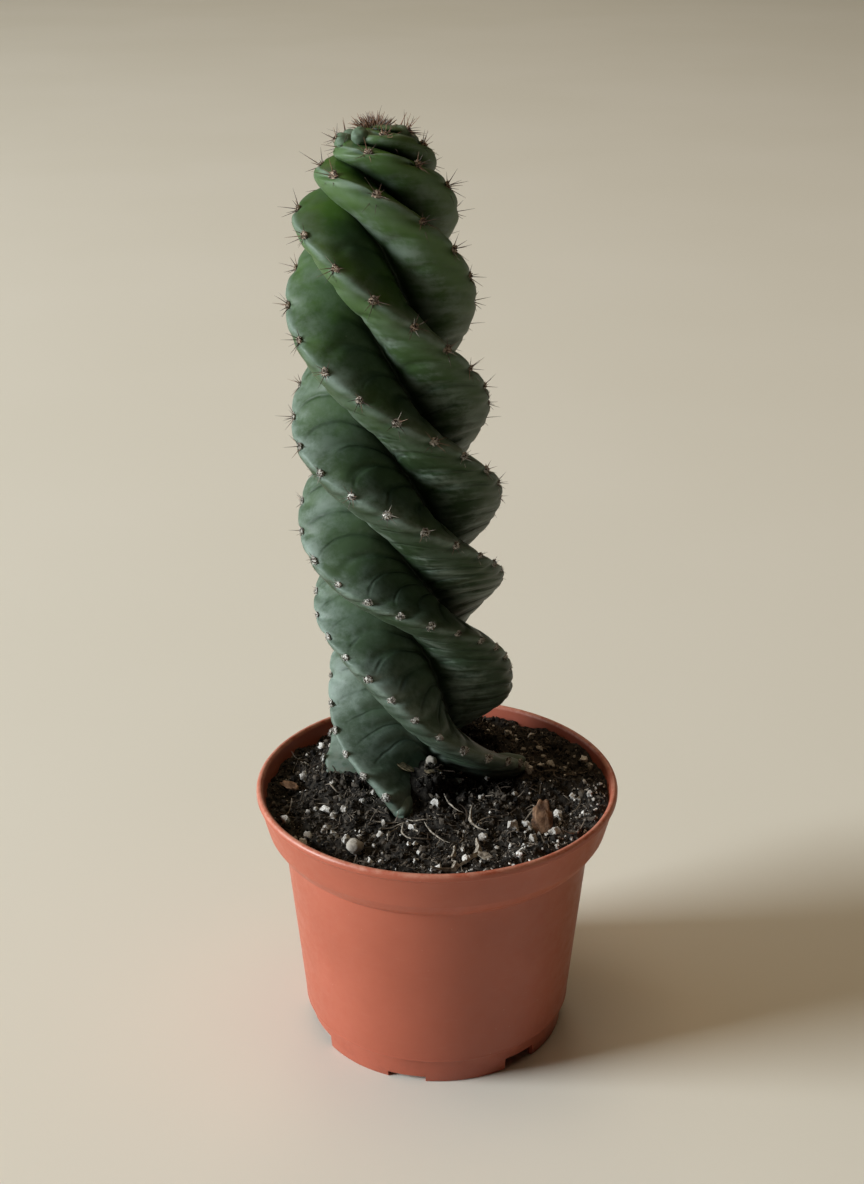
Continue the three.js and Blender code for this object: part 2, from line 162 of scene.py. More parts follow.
# %% [markdown]
# ## Repeats
# Spines, crumbs and grains are each modelled once and then copied hundreds of times. A copy is moved,
# turned and scaled, and the copies are gathered in one piece. Each copy also gets a tone, a random
# number that its finish uses to make it lighter or darker than the next.

# %% Copies of a model
def gather(template, places, name, draw):
    """One piece of copies of the template, one for each placing matrix, each with a tone."""
    points = np.c_[coordinates(template.data), np.ones(len(template.data.vertices))]
    faces = [list(face.vertices) for face in template.data.polygons]
    count = len(points)
    moved = np.concatenate([points @ np.array(place).T[:, :3] for place in places])
    copied = [[v + count * k for v in face] for k in range(len(places)) for face in faces]
    mesh = bpy.data.meshes.new(name)
    mesh.from_pydata(moved.tolist(), [], copied)
    tone = mesh.attributes.new("tone", "FLOAT", "POINT")
    tones = np.repeat([draw.random() for _ in places], count)
    tone.data.foreach_set("value", tones)
    mesh.update()
    piece = bpy.data.objects.new(name, mesh)
    scene.collection.objects.link(piece)
    return piece


def smooth(piece, degrees=180):
    focus(piece)
    bpy.ops.object.shade_smooth_by_angle(angle=math.radians(degrees))


def discard(piece):
    bpy.data.objects.remove(piece)


# %% [markdown]
# ## Shader maths
# A finish is easier to read as sums than as a web of nodes. This class wraps an output socket, so that
# `1 - mask * 0.5` adds the Math nodes by itself. Any other node comes from `add`.

# %% Shader helpers
class Value:
    """A number that varies over a surface, with Python's operators."""

    tree = None  # the node tree of the finish that is being made

    def __init__(self, socket):
        self.socket = socket

    def math(self, operation, first, second):
        node = add("Math", {"operation": operation}, {0: first, 1: second})
        return Value(node.outputs[0])

    def __add__(self, other):
        return self.math("ADD", self, other)

    def __mul__(self, other):
        return self.math("MULTIPLY", self, other)

    def __sub__(self, other):
        return self.math("SUBTRACT", self, other)

    def __rsub__(self, other):
        return self.math("SUBTRACT", other, self)

    __radd__ = __add__


def add(kind, settings=None, inputs=None):
    """Adds a shader node: its settings are set first, and then its sockets' values or links."""
    node = Value.tree.nodes.new("ShaderNode" + kind)
    for key, value in (settings or {}).items():
        setattr(node, key, value)
    for key, value in (inputs or {}).items():
        if isinstance(value, Value):
            Value.tree.links.new(value.socket, node.inputs[key])
        elif isinstance(value, bpy.types.NodeSocket):
            Value.tree.links.new(value, node.inputs[key])
        else:
            node.inputs[key].default_value = value
    return node


# %% Patterns over a surface
def noise_value(size, detail=4.0, rough=0.55, stretch=(1, 1, 1), shift=(0, 0, 0)):
    """Noise on the piece's own coordinates. The size is that of its blotches, in millimetres."""
    place = add("TexCoord").outputs["Object"]
    mapping = add("Mapping", None, {"Vector": place, "Scale": stretch, "Location": shift})
    node = add("TexNoise", None, {
        "Vector": mapping.outputs[0],
        "Scale": 1 / (size * MM),
        "Detail": detail,
        "Roughness": rough,
    })
    return Value(node.outputs["Fac"])


def speckle(size, radius):
    """Round specks: 1 in the middle of a speck and 0 outside it."""
    place = add("TexCoord").outputs["Object"]
    node = add("TexVoronoi", None, {"Vector": place, "Scale": 1 / (size * MM)})
    return between(Value(node.outputs["Distance"]), radius, radius * 0.4)


def between(value, low, high, to_low=0.0, to_high=1.0):
    """A smooth step from one value to another."""
    node = add("MapRange", {"interpolation_type": "SMOOTHSTEP"}, {
        "Value": value, "From Min": low, "From Max": high, "To Min": to_low, "To Max": to_high,
    })
    return Value(node.outputs[0])


def attribute(name):
    return Value(add("Attribute", {"attribute_name": name}).outputs["Fac"])


def height_value(low, high):
    """0 at one height and 1 at another, in millimetres."""
    place = add("TexCoord").outputs["Object"]
    split = add("SeparateXYZ", None, {0: place})
    return between(Value(split.outputs["Z"]), low * MM, high * MM)


# %% Colours and relief
def mix(amount, first, second):
    """A colour between two others."""
    opaque = lambda colour: (*colour, 1) if isinstance(colour, tuple) else colour
    node = add("Mix", {"data_type": "RGBA"}, {0: amount, 6: opaque(first), 7: opaque(second)})
    return node.outputs[2]


def coats(colour, *layers):
    """A ground colour with others laid over it, each by its own amount."""
    for amount, tint in layers:
        colour = mix(amount, colour, tint)
    return colour


def bump(height, distance, strength=1.0, under=None):
    """Relief of a few hundredths of a millimetre, in millimetres."""
    inputs = {"Height": height, "Distance": distance * MM, "Strength": strength}
    if under is not None:
        inputs["Normal"] = under
    return add("Bump", None, inputs).outputs[0]


# %% A new finish
def new_finish(name, build, **constants):
    """A material whose build function returns what varies; constants go on the shader's own sockets."""
    material = bpy.data.materials.new(name)
    material.use_nodes = True
    Value.tree = material.node_tree
    Value.tree.nodes.clear()
    shader = add("BsdfPrincipled")
    output = add("OutputMaterial")
    Value.tree.links.new(shader.outputs[0], output.inputs[0])
    for key, value in constants.items():
        shader.inputs[key.replace("_", " ")].default_value = value
    for key, value in build().items():
        source = value.socket if isinstance(value, Value) else value
        Value.tree.links.new(source, shader.inputs[key])
    return material


# %% [markdown]
# ## The pot
# The real pot is moulded in one shot: a thin wall with a collar, a rounded lip and a foot that is cut
# away in places for drainage. A ring of edges is pulled up and scaled along the profile, as on a
# potter's wheel, and the cuts and drain holes are then taken out with solid cutters. Spinning a drawn
# outline would give the same wall, but here each ring's radius and height can be read in a list.

# %% Pot sizes
RIM_RADIUS = 60
FOOT_RADIUS = 43.2
FOOT_INSIDE = 41.6
FOOT_RING = 1.6
FLOOR_UNDERSIDE = 3.8
FLOOR_TOP = 5.4
POT_SIDES = 144
OUTER_PROFILE = [  # radius and height, from the foot up to the lip
    (43.2, 0), (43.7, 5), (44.1, 8.9), (45.5, 9.5), (45.35, 10.2), (47.2, 30), (51.1, 70),
    (54.2, 72.6), (56.5, 76.3), (57.5, 80), (59.2, 87), (59.95, 87.7), (59.95, 89.2), (59.3, 89.9),
]
INNER_PROFILE = [  # and down again inside
    (58.4, 89.9), (57.75, 89.1), (56.1, 80.3), (55.0, 76.9), (52.8, 73.7), (49.9, 70.6),
    (43.9, 10.5), (42.5, FLOOR_TOP),
]
FOOT_NOTCHES = [  # direction and width in degrees, and height
    (-72, 36, 4.6), (41, 16, 4.6), (165, 30, 4.6), (-12, 17, 2), (105, 17, 2), (-130, 17, 2),
]
DRAIN_HOLES = 4
DRAIN_RADIUS = 3.5
DRAIN_CIRCLE = 31


# %% Turning
def facing(degrees):
    """Level direction, in degrees from the front towards the right."""
    angle = math.radians(degrees)
    return Vector((math.sin(angle), -math.cos(angle), 0))


def turned(profile, sides, name):
    """A ring of edges, extruded and scaled along a profile of (radius, height)."""
    deselect()
    radius, height = profile[0]
    bpy.ops.mesh.primitive_circle_add(vertices=sides, radius=radius * MM, location=(0, 0, height * MM))
    piece = bpy.context.object
    with editing(piece):
        for next_radius, next_height in profile[1:]:
            rise = (0, 0, (next_height - height) * MM)
            bpy.ops.mesh.extrude_region_move(TRANSFORM_OT_translate={"value": rise})
            scale = next_radius / radius
            centre = (0, 0, next_height * MM)
            bpy.ops.transform.resize(value=(scale, scale, 1), center_override=centre)
            radius, height = next_radius, next_height
    return settle(piece, name)


def close_rings(piece):
    """Fills the open rings of a piece and points its faces outwards."""
    with editing(piece):
        bpy.ops.mesh.select_all(action="DESELECT")
        bpy.ops.mesh.select_non_manifold(extend=False)
        bpy.ops.mesh.edge_face_add()
        bpy.ops.mesh.select_all(action="SELECT")
        bpy.ops.mesh.normals_make_consistent(inside=False)


# %% Shape the pot
def foot_cutter(direction, width, height):
    """A wedge of a ring: a small upright face, spun through the width of the cut."""
    deselect()
    low = -2 * MM
    inner = (FOOT_RADIUS - FOOT_RING - 0.5) * MM
    outer = (FOOT_RADIUS + 4) * MM
    bpy.ops.mesh.primitive_plane_add(size=1)
    cutter = bpy.context.object
    start = facing(direction + width / 2)
    corners = [(inner, low), (outer, low), (inner, height * MM), (outer, height * MM)]
    place_vertices(cutter.data, [start * reach + Vector((0, 0, up)) for reach, up in corners])
    with editing(cutter):
        bpy.ops.mesh.spin(steps=12, angle=math.radians(width), center=(0, 0, 0), axis=(0, 0, 1))
        bpy.ops.mesh.select_all(action="SELECT")
        bpy.ops.mesh.remove_doubles(threshold=1e-6)
        bpy.ops.mesh.normals_make_consistent(inside=False)
    return cutter


def shape_pot():
    profile = [(FOOT_INSIDE, FLOOR_UNDERSIDE), (FOOT_INSIDE, 0), *OUTER_PROFILE, *INNER_PROFILE]
    pot = turned(profile, POT_SIDES, "pot_body")
    close_rings(pot)
    sharp = math.radians(14)
    apply_modifier(pot, "BEVEL", width=0.35 * MM, segments=3, limit_method="ANGLE", angle_limit=sharp)
    cutters = [foot_cutter(*notch) for notch in FOOT_NOTCHES]
    for k in range(DRAIN_HOLES):
        place = facing(360 * k / DRAIN_HOLES + 45) * DRAIN_CIRCLE * MM
        deselect()
        bpy.ops.mesh.primitive_cylinder_add(vertices=32, radius=DRAIN_RADIUS * MM, depth=6 * MM,
                                            location=(place.x, place.y, 4.5 * MM))
        cutters.append(bpy.context.object)
    for cutter in cutters:
        apply_modifier(pot, "BOOLEAN", operation="DIFFERENCE", object=cutter, solver="EXACT")
        discard(cutter)
    smooth(pot, 35)
    return pot


# %% [markdown]
# ## The pot's finish
# Recycled nursery plastic is a satin terracotta: slightly uneven in colour, a little paler in blotches
# on top of the lip, partly from wear and partly as a painted highlight, with fine dust specks and faint
# scuffs. One flat colour would look like a toy's, so thin coats are laid over the ground colour, one
# for each kind of mark.

# %% Pot finish
def terracotta_plastic():
    cloud = noise_value(38, detail=3)
    dust = noise_value(5, detail=8, rough=0.7)
    scuff = noise_value(9, detail=6, rough=0.65, stretch=(1, 1, 5))
    pale = speckle(4.5, 0.055) * between(cloud, 0.45, 0.6)
    lip = height_value(88.4, 89.6)
    foot = 1 - height_value(2, 16)
    colour = coats(
        (0.395, 0.092, 0.048),
        (between(cloud, 0.35, 0.65), (0.43, 0.104, 0.056)),
        (between(scuff, 0.58, 0.75) * 0.28, (0.46, 0.155, 0.095)),
        # paler in blotches on top of the lip: partly wear, partly a painted highlight
        (lip * between(dust, 0.35, 0.6) * 0.6, (0.60, 0.29, 0.20)),
        (foot * between(dust, 0.45, 0.7) * 0.35, (0.29, 0.07, 0.038)),
        (pale * 0.5, (0.62, 0.34, 0.25)),
    )
    relief = bump(noise_value(0.7, detail=2), 0.012)
    relief = bump(noise_value(22, detail=1), 0.18, 0.6, relief)
    return {
        "Base Color": colour,
        "Roughness": between(dust, 0.3, 0.7, 0.36, 0.52) + between(scuff, 0.6, 0.8) * 0.12,
        "Normal": relief,
    }


pot_finish = new_finish("terracotta_plastic", terracotta_plastic, Specular_IOR_Level=0.5)
pot = finish(shape_pot(), pot_finish, ["pot"])

# %% [markdown]
# ## The stem's form
# Seen from above, the stem is a four-pointed star: each point is a rib. Going up, the star turns, so
# the ribs wind round the core. The stations below say where the axis is at each height, how far the
# ribs reach, which way the first rib points, and how the section slants, because a twisted stem leans.
# A twisted prism would be quicker, but its ribs would all be alike. A grid is rolled up into this form
# instead, because a rolled grid keeps one column of points on every rib.

# %% Stem sizes
STEM_STATIONS = np.array([
    [60, -4.5, 13.5, 14, 600, 0, -0.06],
    [72, -4.5, 13.5, 25, 575, 0, -0.06],
    [84, -4.5, 13.5, 33.2, 548, 0, -0.06],
    [92, -4.5, 13, 32.8, 530, 0, -0.06],
    [110, -5, 12, 31, 473, 0.02, -0.06],
    [138, -7.5, 10.5, 30.5, 417, 0.07, -0.07],
    [166, -11, 8, 31.5, 323, 0.13, -0.09],
    [194, -12.5, 5.5, 32, 249, 0.15, -0.12],
    [222, -15, 3.5, 30, 172, 0.12, -0.15],
    [250, -17, 1.5, 28.5, 101, 0.07, -0.18],
    [272, -17.5, 0, 26, 42, 0.03, -0.21],
    [288, -18, -1, 23.5, -30, 0.08, -0.24],
    [298, -18, -2, 22.8, -130, 0.18, -0.23],
    [306, -18.5, -2.5, 21.5, -270, 0.2, -0.22],
])
RIBS = 4
WANDER_HEIGHTS = [84, 97, 157, 230, 303]
RIB_WANDER = [[7, 6, 2, -2, 6], [-1, -2, -9, -1, -11], [-18, -8.5, -5, 3, 1], [3, 4, 11, 0, 3]]
STEM_FOOT = 60
CROWN_HEIGHT = 272
STEM_TOP = 303.5
VALLEY_LOW = 0.28
VALLEY_HIGH = 0.36
VALLEY_TIP = 0.8
UPPER_FLANK = (1.2, 1.5)  # exponents of the swell above a rib's edge, and below it
LOWER_FLANK = (2.0, 1.15)
EDGE_ROUNDING = 0.055
CROWN_ROUNDING = 0.1
FOOT_SLIMNESS = 2.8
PLUMP_CROWN = 0.45  # the youngest ribs are rounder
CROWN_HANG = 0.27  # the youngest ribs hang over the grooves below them
FLANK_COLUMNS = 22


# %% Curves through the stations
def smoothstep(value, low, high):
    t = np.clip((value - low) / (high - low), 0, 1)
    return t * t * (3 - 2 * t)


def flow(places, values, at):
    """A smooth curve through values at rising places, read at many places."""
    places, values, at = (np.asarray(a, float) for a in (places, values, at))
    before = np.maximum(np.arange(len(places)) - 1, 0)
    after = np.minimum(np.arange(len(places)) + 1, len(places) - 1)
    slopes = (values[after] - values[before]) / (places[after] - places[before])
    i = np.clip(np.searchsorted(places, at, side="left") - 1, 0, len(places) - 2)
    width = places[i + 1] - places[i]
    t = np.clip((at - places[i]) / width, 0, 1)
    return (
        (2 * t**3 - 3 * t**2 + 1) * values[i]
        + (t**3 - 2 * t**2 + t) * width * slopes[i]
        + (3 * t**2 - 2 * t**3) * values[i + 1]
        + (t**3 - t**2) * width * slopes[i + 1]
    )


def station(column, heights):
    return flow(STEM_STATIONS[:, 0], STEM_STATIONS[:, column], heights)


def rib_direction(rib, heights):
    """Direction of a rib's edge in degrees; ribs past either end are the same ones a turn on."""
    lap = 360 * (rib // RIBS)
    wander = flow(WANDER_HEIGHTS, RIB_WANDER[rib % RIBS], heights)
    return station(4, heights) - 360 / RIBS * (rib % RIBS) - lap + wander


# %% Points of the skin
def skin_points(rib, share, heights):
    """Points of a rib's flank in mm: share 0 is its edge, 1 and -1 the grooves beside it."""
    rise = np.clip((heights - CROWN_HEIGHT) / (STEM_TOP - CROWN_HEIGHT), 0, 1)
    age = np.clip((heights - 84) / (CROWN_HEIGHT - 84), 0, 1)
    valley = (VALLEY_LOW + (VALLEY_HIGH - VALLEY_LOW) * age) * (1 - rise**2) + VALLEY_TIP * rise**2
    low = 0.8 + (valley - 0.8) * smoothstep(heights, STEM_FOOT, 78)
    slimness = FOOT_SLIMNESS + (1 - FOOT_SLIMNESS) * smoothstep(heights, 90, 132)
    reach = station(3, heights) * np.sqrt(np.maximum(1 - rise**2, 0))
    here = rib_direction(rib, heights)
    there = rib_direction(rib - int(np.sign(share)), heights)
    part = 0.5 - math.copysign(CROWN_HANG, share) * smoothstep(heights, 266, 286)
    direction = np.radians(here + (there - here) * abs(share) * part)
    rounding, slim = UPPER_FLANK if share > 0 else LOWER_FLANK
    slim = slim * (1 - PLUMP_CROWN * smoothstep(heights, 280, 300))
    blunt = EDGE_ROUNDING + CROWN_ROUNDING * smoothstep(heights, 266, 292)
    soft = (np.hypot(share, blunt) - blunt) / (np.hypot(1, blunt) - blunt)
    swell = (1 - soft**rounding) ** (slim * slimness)
    arm = reach * (low + (1 - low) * swell)
    x = np.sin(direction) * arm
    y = -np.cos(direction) * arm
    z = x * station(5, heights) + y * station(6, heights)
    return np.stack([x + station(1, heights), y + station(2, heights), z + heights], axis=-1)


# %% Rows and columns
crown_climb = np.sin(np.linspace(0, 1, 76)[1:] * math.pi / 2)
HEIGHTS = np.concatenate([
    np.linspace(STEM_FOOT, 82, 8, endpoint=False),
    np.linspace(82, CROWN_HEIGHT, 400),
    CROWN_HEIGHT + (STEM_TOP - CROWN_HEIGHT) * crown_climb,
])
COLUMNS = [
    (rib, math.copysign(abs(t) ** 1.25, t))
    for rib in range(RIBS - 1, -1, -1)
    for t in np.arange(-FLANK_COLUMNS, FLANK_COLUMNS) / FLANK_COLUMNS
]
skin = np.stack([skin_points(rib, share, HEIGHTS) for rib, share in COLUMNS], axis=1)
SHARES = np.array([share for _, share in COLUMNS])
print("stem skin:", skin.shape[0], "rows of", skin.shape[1], "points")

# %% [markdown]
# ## Areoles along the ribs
# An areole is the felted pad that carries the spines. They sit on the ribs' edges at even distances,
# further apart where the stem grew faster. They could be set by eye, but walking up each edge with a
# measure keeps the distances true. The dip at each areole and the folds that run from it across the
# flanks are measured in areole steps too.

# %% Areole places
AREOLE_GAPS = [  # height and distance in mm
    (84, 10), (150, 10.5), (172, 12.3), (216, 13), (262, 15), (285, 16), (298, 14), (306, 12),
]
FIRST_AREOLE = [3, 6, 7.5, 6.5]
SOIL_HEIGHT = 85.4
STEP = 0.25


def areole_heights(rib):
    """Ring heights of a rib's areoles, by walking up its edge."""
    heights = np.arange(SOIL_HEIGHT, STEM_TOP - 1.2, STEP)
    edge = skin_points(rib, 0.0, heights)
    paces = np.linalg.norm(np.diff(edge, axis=0), axis=1)
    gaps = flow(*zip(*AREOLE_GAPS), heights)
    found = []
    wait = FIRST_AREOLE[rib]
    for height, pace, gap in zip(heights, paces, gaps):
        wait -= pace
        if wait <= 0:
            found.append(height)
            wait += gap
    return np.array(found)


AREOLES = [areole_heights(rib) for rib in range(RIBS)]
print("areoles on the ribs:", [len(heights) for heights in AREOLES])


def areole_phase(rib, heights):
    """How many areole steps a height is up its rib: whole numbers are at the areoles."""
    own = AREOLES[rib]
    steps = np.concatenate([[-4], np.arange(len(own)), [len(own)]])
    places = np.concatenate([[own[0] - 28], own, [max(STEM_TOP, own[-1] + 1)]])
    return np.interp(heights, places, steps)


# %% [markdown]
# ## Relief on the skin
# The skin isn't smooth: the edge dips at each areole, a fold runs from there across both flanks like
# the pleats of a bellows, and the flesh between the folds swells a little. The whole surface is also
# slightly uneven. It could be sculpted, but a sum can be changed later and comes out the same each
# time. All of it is pushed out along the surface's own normals.

# %% Relief
DIP = 1.1  # mm, at an areole
DIP_CROWN = 1.7
DIP_TIP = 2.0
FOOT_BUMP = 0.9
FOLD = 0.45
SWELL = 0.55
EDGE_BEAD = 0.25
UNEVEN = 0.32

rows, columns = skin.shape[:2]
along_rows = np.gradient(skin, axis=0)
around = np.roll(skin, -1, axis=1) - np.roll(skin, 1, axis=1)
normals = np.cross(around, along_rows)
normals /= np.maximum(np.linalg.norm(normals, axis=2, keepdims=True), 1e-9)

# %% Dips, folds and swells
relief = np.zeros((rows, columns))
pleat = np.zeros((rows, columns))
fold_draw = random.Random(4)
fold_strength = [[fold_draw.uniform(0.25, 1.0) for _ in range(60)] for _ in range(RIBS)]
crown = smoothstep(HEIGHTS, 262, 296)
tip_dip = DIP + (DIP_CROWN - DIP) * crown + (DIP_TIP - DIP_CROWN) * smoothstep(HEIGHTS, 290, 299)
tip_dip -= (DIP + FOOT_BUMP) * (1 - smoothstep(HEIGHTS, 92, 116))
foot = 1 - smoothstep(HEIGHTS, 104, 150)
for column, (rib, share) in enumerate(COLUMNS):
    side = abs(share)
    bow = (7 if share > 0 else 4) * math.sin(math.pi * min(side, 1)) * (1 - 0.6 * crown)
    phase = areole_phase(rib, HEIGHTS - bow)
    strength = np.array([fold_strength[rib][int(k) % 60] for k in np.round(phase)])
    crease = (0.5 + 0.5 * np.cos(2 * math.pi * phase)) ** 6 * strength * (1 - 0.75 * crown)
    window = float(smoothstep(side, 0.1, 0.34) * (1 - 0.4 * smoothstep(side, 0.85, 1.0)))
    bellows = (0.55 if share > 0 else 0.4) * (0.35 + foot * 1.1) * (1 - 0.8 * crown)
    straight = areole_phase(rib, HEIGHTS)
    dip = (0.5 + 0.5 * np.cos(2 * math.pi * straight)) ** 3
    edge = math.exp(-((share / 0.2) ** 2))
    pleat[:, column] = phase
    relief[:, column] = (
        EDGE_BEAD * math.exp(-(((share + 0.06) / 0.15) ** 2)) * (1 - crown)
        - tip_dip * dip * edge
        - FOLD * crease * window
        + SWELL * (0.5 - 0.5 * np.cos(2 * math.pi * phase)) * window * bellows
    )
relief *= smoothstep(HEIGHTS, 80, 90)[:, None] * smoothstep(STEM_TOP - HEIGHTS, 0, 4)[:, None]
unevenness = np.array([
    noise.noise(Vector(p) / 13) + 0.5 * noise.noise(Vector(p) / 5.5) for p in skin.reshape(-1, 3)
]).reshape(rows, columns)
calm_tip = smoothstep(STEM_TOP - HEIGHTS, 0, 6)[:, None]
skin = skin + normals * (relief + UNEVEN * unevenness * calm_tip)[..., None]
print("deepest dip and highest swell, mm:", round(relief.min(), 2), round(relief.max(), 2))


# %% Roll a grid into the stem
def shape_stem():
    deselect()
    bpy.ops.mesh.primitive_grid_add(x_subdivisions=columns, y_subdivisions=rows, size=2)
    stem = bpy.context.object
    spots = coordinates(stem.data)
    across = np.rint((spots[:, 0] + 1) / 2 * columns).astype(int) % columns
    up = np.rint((spots[:, 1] + 1) / 2 * rows).astype(int)
    tip = skin[-1].mean(axis=0)
    rolled = np.concatenate([skin, np.broadcast_to(tip, (1, columns, 3))])
    place_vertices(stem.data, rolled[up, across] * MM)
    sides = np.abs(SHARES)[across]
    phases = np.stack([areole_phase(rib, HEIGHTS) + 37 * rib for rib, _ in COLUMNS], axis=1)
    maps = {
        "side": sides,
        "phase": np.concatenate([phases, phases[-1:]])[up, across],
        "lower": 1 - smoothstep(SHARES[across], -0.06, 0.06),
        "pleat": np.concatenate([pleat, pleat[-1:]])[up, across],
    }
    for name, values in maps.items():
        stem.data.attributes.new(name, "FLOAT", "POINT").data.foreach_set("value", values)
    with editing(stem):
        bpy.ops.mesh.remove_doubles(threshold=1e-7)
    close_rings(stem)
    focus(stem)
    bpy.ops.object.shade_smooth()
    return settle(stem, "stem_skin")


# %% [markdown]
# ## The skin's finish
# Young skin at the tip is a fresh yellowish green; lower down it is a deep, cool green. Where nothing
# rubs it off, a blue-grey wax bloom lies on it, most on the lower flanks and on the edges, and the pale
# band along the edges is partly painted light. Painted shade darkens the folds, the grooves and the
# lower flanks, painted light brightens the lower flanks near the tip, and close to the soil the skin
# turns corky and brownish grey. The thin creases are drawn here and not in the mesh, because they are
# finer than its columns.

# %% Stem finish
def streaks(across, along):
    """Noise drawn out from the groove to the edge, because wax is rubbed and runs that way."""
    place = add("CombineXYZ", None, {
        "X": attribute("side") * across,
        "Y": attribute("phase") * along,
    })
    node = add("TexNoise", None, {"Vector": place.outputs[0], "Scale": 1.0, "Detail": 5.0})
    return Value(node.outputs["Fac"])


def pleats(side):
    """Thin creases, one for each areole step, from near the edge to the groove: masks of painted shade
    on the creases and beside them.
    """
    phase = attribute("pleat") + noise_value(14, detail=3) * 0.3
    away = phase.math("PINGPONG", phase, 0.5)
    reach = between(side, 0.08, 0.3) * (1 - between(side, 0.88, 0.98))
    bold = between(noise_value(16, detail=2, shift=(0.3, 0, 0)), 0.36, 0.6)
    bold = bold * (1 - height_value(205, 262))
    thin = between(away, 0.0, 0.1, 1.0, 0.0)
    wide = between(away, 0.0, 0.3, 1.0, 0.0)
    return thin * reach * bold, wide * reach * (bold * 0.7 + 0.15)


# %% Skin
def waxy_skin():
    side = attribute("side")
    lower = attribute("lower")
    crease, shade = pleats(side)
    cloud = noise_value(14, detail=5)
    mottle = noise_value(2.6, detail=9, rough=0.72)
    grain = noise_value(0.5, detail=3)
    streak = streaks(1.6, 3.2)
    young = height_value(190, 300)
    old = 1 - height_value(100, 175)
    # the rib's edge band: wax bloom and a painted highlight
    edge = 1 - between(side, 0.02, 0.15)
    film = between(cloud * 0.7 + mottle * 0.45 + lower * (streak - 0.5) * 0.5, 0.47, 0.76)
    hollow = lower * between(side, 0.36, 0.62) * (1 - between(side, 0.84, 0.96))
    # wax bloom on the upper flank near the edge, partly painted light
    brim_bloom_and_painted_light = (1 - between(side, 0.1, 0.55)) * (1 - lower)
    wax_and_painted_light = (0.28 + hollow * 0.75 + edge * 0.5 + brim_bloom_and_painted_light * 0.45 + old * 0.2 - lower * 0.1) * film
    cork = (1 - height_value(86, 95)) * between(mottle, 0.45, 0.62)
    scar = speckle(7, 0.05) * between(cloud, 0.5, 0.6)
    green = coats(
        (0.060, 0.098, 0.046),
        (young, (0.042, 0.094, 0.010)),
        (between(cloud, 0.4, 0.62) * 0.55, (0.022, 0.050, 0.015)),
        # painted shade on the lower flanks, fading out near the tip
        (lower * (0.6 - young * 0.6), (0.012, 0.027, 0.009)),
        # painted light on the lower flanks near the tip
        (lower * young * 0.55, (0.088, 0.148, 0.060)),
        (old * 0.45, (0.086, 0.112, 0.090)),
        # blue-grey wax bloom, with painted light mixed in along the edges
        (wax_and_painted_light * (1.0 - young * (0.75 - lower * 0.4)), (0.22, 0.275, 0.228)),
        # paler along the edges: partly wax bloom, partly a painted highlight
        (edge * 0.42, (0.15, 0.20, 0.16)),
        (between(mottle, 0.52, 0.72) * 0.16, (0.08, 0.13, 0.06)),
        # painted shade beside the creases
        (shade * 0.42, (0.014, 0.030, 0.011)),
        # painted shade in the creases
        (crease * 0.36, (0.006, 0.012, 0.005)),
        # painted shade in the grooves
        (between(side, 0.68, 0.96) * 0.92, (0.006, 0.015, 0.004)),
        (cork * 0.6, (0.10, 0.085, 0.055)),
        (scar * 0.6, (0.24, 0.22, 0.15)),
    )
    under = bump(mottle, 0.06, 0.6, bump(1 - crease, 0.3, 0.7))
    return {
        "Base Color": green,
        "Roughness": between(mottle, 0.3, 0.7, 0.4, 0.52) + wax_and_painted_light * 0.12,
        "Normal": bump(grain, 0.014, 0.7, under),
    }


skin_finish = new_finish("waxy_skin", waxy_skin, Specular_IOR_Level=0.2)
stem = finish(shape_stem(), skin_finish, ["stem"])

# %% [markdown]
# ## Areole pads and spines
# Each areole is a round pad of short grey felt. Low on the stem it has lost most of its spines and
# shows only dark stubs; near the tip it carries five to eight stiff brown spines. Hair curves would
# be lost in an export, so one pad and one spine are modelled, and each copy gets its own turn and size.

# %% A spine and a pad
def pointing(way, axis="Z", side="X"):
    """The turn that points an axis along a way."""
    return way.to_track_quat(axis, side).to_matrix().to_4x4()


def model_spine():
    """A stiff spine of length 1 along Z: a cone with a swollen foot and a slight bow."""
    spine = plain_form(bpy.ops.mesh.primitive_cone_add, "spine_model",
                       vertices=6, radius1=0.042, radius2=0.006, depth=1, location=(0, 0, 0.5))
    with editing(spine):
        for height in (0.12, 0.45, 0.75):
            bpy.ops.mesh.select_all(action="SELECT")
            bpy.ops.mesh.bisect(plane_co=(0, 0, height), plane_no=(0, 0, 1))
    points = coordinates(spine.data)
    points[:, 0] += 0.05 * points[:, 2] ** 2
    foot = points[:, 2] < 0.01
    points[foot, :2] *= 1.5
    place_vertices(spine.data, points)
    return spine


def model_pad():
    """A felt pad of radius 1: a squashed ball with tufts of short hairs standing out of it."""
    pad = plain_form(bpy.ops.mesh.primitive_ico_sphere_add, "pad_model", subdivisions=2, radius=1)
    points = coordinates(pad.data)
    lumps = np.array([1 + 0.35 * noise.noise(Vector(p) * 1.9) for p in points])
    points *= lumps[:, None]
    points[:, 2] *= 0.42
    place_vertices(pad.data, points)
    draw = random.Random(8)
    hairs = []
    for _ in range(40):
        hair = plain_form(bpy.ops.mesh.primitive_cone_add, "hair",
                          vertices=3, radius1=0.11, radius2=0.02, depth=0.42, location=(0, 0, 0.21))
        out = Vector((draw.gauss(0, 1), draw.gauss(0, 1), abs(draw.gauss(0, 0.8)))).normalized()
        lean = (out + Vector((draw.gauss(0, 0.35), draw.gauss(0, 0.35), 0.25))).normalized()
        root = Vector((out.x, out.y, out.z * 0.5)) * 0.85
        hair.data.transform(Matrix.Translation(root) @ pointing(lean))
        hairs.append(hair)
    deselect()
    for hair in hairs:
        hair.select_set(True)
    pad.select_set(True)
    bpy.context.view_layer.objects.active = pad
    bpy.ops.object.join()
    return pad


